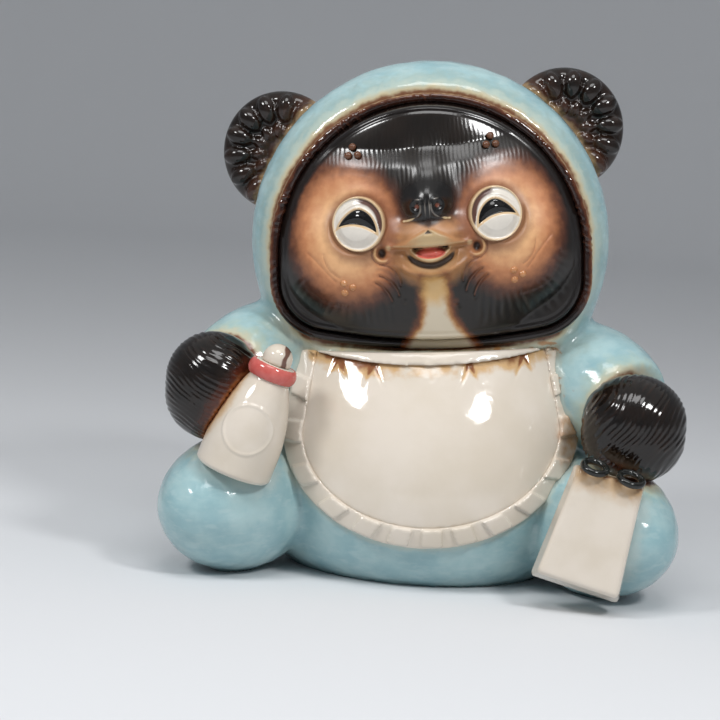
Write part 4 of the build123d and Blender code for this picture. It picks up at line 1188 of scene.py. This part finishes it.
# Clear glaze on cream clay: smoother than on the bib, greyed blue near the suit, partly by turquoise glaze
# that ran over and partly by painted shade where the pieces meet, and stained rust where the iron glaze of
# the paw ran into it.
flask_glaze = fired_glaze(
    "clear_glaze_on_flask",
    ("#DCD2C5", "#D3C8B8"),
    (
        # Grey blue within a few mm of the suit: turquoise run over, and painted shade where the pieces
        # meet.
        ("suit", 4.0, 0.3, "#A9B4B2", 0.8, 0.7),
        ("paw", 8.0, 1.8, "#BF945C", 1.2, 0.75),
        ("paw", 3.0, 0.5, "#5E2F1A", 0.9, 0.95),
        ("stripe", 0.4, 0.8, "#5A2C1C", 0.1, 0.9),
    ),
    cloud=24.0,
    gloss=0.07,
    pits=(5.0, 0.03),
)
for name in ("flask", "flask_stopper"):
    bottle = to_piece(f"{name}_turned", cad_copy(name))
    as_clay(bottle, FLASK_GRID, rounds=4)
    turned = points_of(bottle)
    beside = (turned - FLASK_PLACE) @ FLASK_ACROSS
    from_crest = np.hypot(beside, (turned - FLASK_PLACE) @ FLASK_AXIS - CREST_UP)
    crest = hump(from_crest - CREST_RADIUS, CREST_WIDTH)
    crest *= (turned[:, 1] < FLASK_PLACE[1]) * (name == "flask")
    turned += normals_of(bottle) * (CREST_RISE * crest)[:, None]
    move_points(bottle, turned)
    brush(bottle, "paw", gap_to(turned, "right_paw"))
    # Read by the glaze for the turquoise tint and the painted shade beside the suit.
    brush(bottle, "suit", gap_to(turned, "right_leg", "body_shell"))
    wander = STRIPE_WANDER * ripple(turned, STRIPE_WAVES)
    smear = hump(beside - STRIPE_ACROSS + wander, STRIPE_WIDTH)
    brush(bottle, "stripe", smear * (name == "flask_stopper"))
    finish_piece(bottle, flask_glaze, "cream_glaze", name)
cord = to_piece("flask_cord_band", cad_copy("flask_cord"))
as_clay(cord, CORD_GRID, rounds=4)
brush(cord, "paw", gap_to(points_of(cord), "right_paw"))
# Red glaze: soft coral, glassy, a little cloudy and darker beside the paw.
cord_coats = (("paw", 2.5, 0.3, "#7A3626", 0.6, 0.8),)
cord_glaze = fired_glaze("red_cord_glaze", ("#CF6E66", "#C05650"), cord_coats, cloud=6.0, gloss=0.08)
finish_piece(cord, cord_glaze, "cord_glaze", "flask_cord")


# Ledger: a drafted slab for the account book that hangs from the left paw, with two thin loops of clay at
# its top edge. The slab has the flask's glaze, stained amber under the paw and round the loops.
LEDGER_GRID = 0.7
LEDGER_STAIN = 0.7
LOOP_GRID = 0.35
LOOP_SWELL = 0.45
LOOP_STAIN_GAP = 0.8
ledger = to_piece("ledger_slab", cad_copy("ledger"))
as_clay(ledger, LEDGER_GRID, rounds=4)
pages = points_of(ledger)
stain_gap = np.minimum(gap_to(pages, "left_paw"), gap_to(pages, "ledger_binding") + LOOP_STAIN_GAP)
brush(ledger, "paw", LEDGER_STAIN * stain_gap)
# Read by the glaze for the turquoise tint and the painted shade beside the suit.
brush(ledger, "suit", gap_to(pages, "left_leg", "body_shell"))
brush(ledger, "stripe", np.zeros(len(pages)))
finish_piece(ledger, flask_glaze, "cream_glaze", "ledger")
loops = to_piece("ledger_loops", cad_copy("ledger_binding"))
as_clay(loops, LOOP_GRID, rounds=1)
move_points(loops, points_of(loops) + LOOP_SWELL * normals_of(loops))
# Iron glaze with a little copper: greenish black and glassy, cloudy over a few mm.
binding_glaze = fired_glaze("green_black_glaze", ("#12100E", "#1F2320"), (), cloud=3.0, gloss=0.1)
finish_piece(loops, binding_glaze, "binding_glaze", "ledger_binding")


# Tail: a short lump of clay luted low on the back, combed along its length like the paws and covered
# with the same iron glaze, which breaks brown where it meets the suit.
TAIL_GRID = 0.8
TAIL_SLANT = np.array((0.93, 0.0, -0.36))
FAR_FROM_HELD = 20.0
tail = to_piece("tail_combed", cad_copy("tail"))
as_clay(tail, TAIL_GRID, rounds=3)
brushes = points_of(tail)
comb = combed(brushes, TAIL_SLANT)
brushes += normals_of(tail) * (COMB_DEPTH * comb)[:, None]
move_points(tail, brushes)
brush(tail, "comb", comb)
brush(tail, "sleeve", gap_to(brushes, "body_shell"))
brush(tail, "held", np.full(len(brushes), FAR_FROM_HELD))
finish_piece(tail, paw_glaze, "fur_glaze", "tail")


# Studio: a pale sweep of paper all round, two small oval soft boxes in front, a wide one higher up and an
# even sky, in metres. The camera looks from a little above and is rolled, so that the figure leans.
FLOOR_RADIUS = 2.2
SWEEP_RADIUS = 0.8
SWEEP_TOP = 3.0
SWEEP_BENDS = 12
SWEEP_STEPS = 96
LAMP_AIM = Vector((0, 0, 0.11))
sweep = bmesh.new()
profile = [sweep.verts.new((MM, 0, 0))]
for step in range(SWEEP_BENDS + 1):
    turn = radians(90 * step / SWEEP_BENDS)
    reach = FLOOR_RADIUS + SWEEP_RADIUS * sin(turn)
    profile.append(sweep.verts.new((reach, 0, SWEEP_RADIUS * (1 - cos(turn)))))
profile.append(sweep.verts.new((FLOOR_RADIUS + SWEEP_RADIUS, 0, SWEEP_TOP)))
edges = [sweep.edges.new(pair) for pair in zip(profile, profile[1:])]
bmesh.ops.spin(sweep, geom=profile + edges, steps=SWEEP_STEPS, **FULL_TURN)
paper = to_piece("paper_sweep", sweep)
# Matt paper: an even pale grey with no gloss, so that it shows nothing but soft shadow.
paper_white = bpy.data.materials.new("pale_paper")
paper_white.use_nodes = True
paper_face = paper_white.node_tree.nodes["Principled BSDF"]
paper_face.inputs["Base Color"].default_value = linear("#DADCDF")
paper_face.inputs["Roughness"].default_value = 0.9
paper.data.materials.append(paper_white)

world = bpy.data.worlds.new("even_sky")
world.use_nodes = True
sky = world.node_tree.nodes["Background"]
sky.inputs["Color"].default_value = linear("#F4F5F6")
sky.inputs["Strength"].default_value = 0.5
bpy.context.scene.world = world

for name, place, size, watts in (
    ("left_box", (-0.60, -0.54, 0.76), (0.30, 0.17), 3.6),
    ("right_box", (0.47, -0.65, 0.76), (0.20, 0.18), 3.8),
    ("high_box", (0.0, -0.50, 1.05), (0.62, 0.42), 3.4),
):
    lamp = bpy.data.lights.new(name, "AREA")
    lamp.shape = "ELLIPSE"
    lamp.size, lamp.size_y = size
    lamp.energy = watts
    holder = bpy.data.objects.new(name, lamp)
    holder.location = place
    holder.rotation_euler = (LAMP_AIM - Vector(place)).to_track_quat("-Z", "Y").to_euler()
    bpy.context.collection.objects.link(holder)

PICTURE_SIZE = 720.0
FOCAL_PIXELS = 2150.0
CAMERA_DISTANCE = 1.0
CAMERA_RISE = radians(6.0)
CAMERA_ROLL = radians(4.0)
TARGET = Vector((0, 0, 0.106))
TARGET_PIXEL = (430.0, 335.0)
gaze = Vector((0, cos(CAMERA_RISE), -sin(CAMERA_RISE)))
right = Vector((1, 0, 0))
upward = right.cross(gaze)
rolled_right = right * cos(CAMERA_ROLL) + upward * sin(CAMERA_ROLL)
rolled_up = upward * cos(CAMERA_ROLL) - right * sin(CAMERA_ROLL)
aim = gaze - rolled_right * (TARGET_PIXEL[0] - PICTURE_SIZE / 2) / FOCAL_PIXELS
aim = (aim + rolled_up * (TARGET_PIXEL[1] - PICTURE_SIZE / 2) / FOCAL_PIXELS).normalized()
rolled_right = (rolled_right - aim * rolled_right.dot(aim)).normalized()
rolled_up = rolled_right.cross(aim)
lens = bpy.data.cameras.new("photo_camera")
lens.sensor_width = 36.0
lens.lens = FOCAL_PIXELS / PICTURE_SIZE * lens.sensor_width
camera = bpy.data.objects.new("photo_camera", lens)
turn = Matrix((rolled_right, rolled_up, -aim)).transposed().to_4x4()
camera.matrix_world = Matrix.Translation(TARGET - gaze * CAMERA_DISTANCE) @ turn
bpy.context.collection.objects.link(camera)
bpy.context.scene.camera = camera
bpy.context.scene.view_settings.view_transform = "Standard"
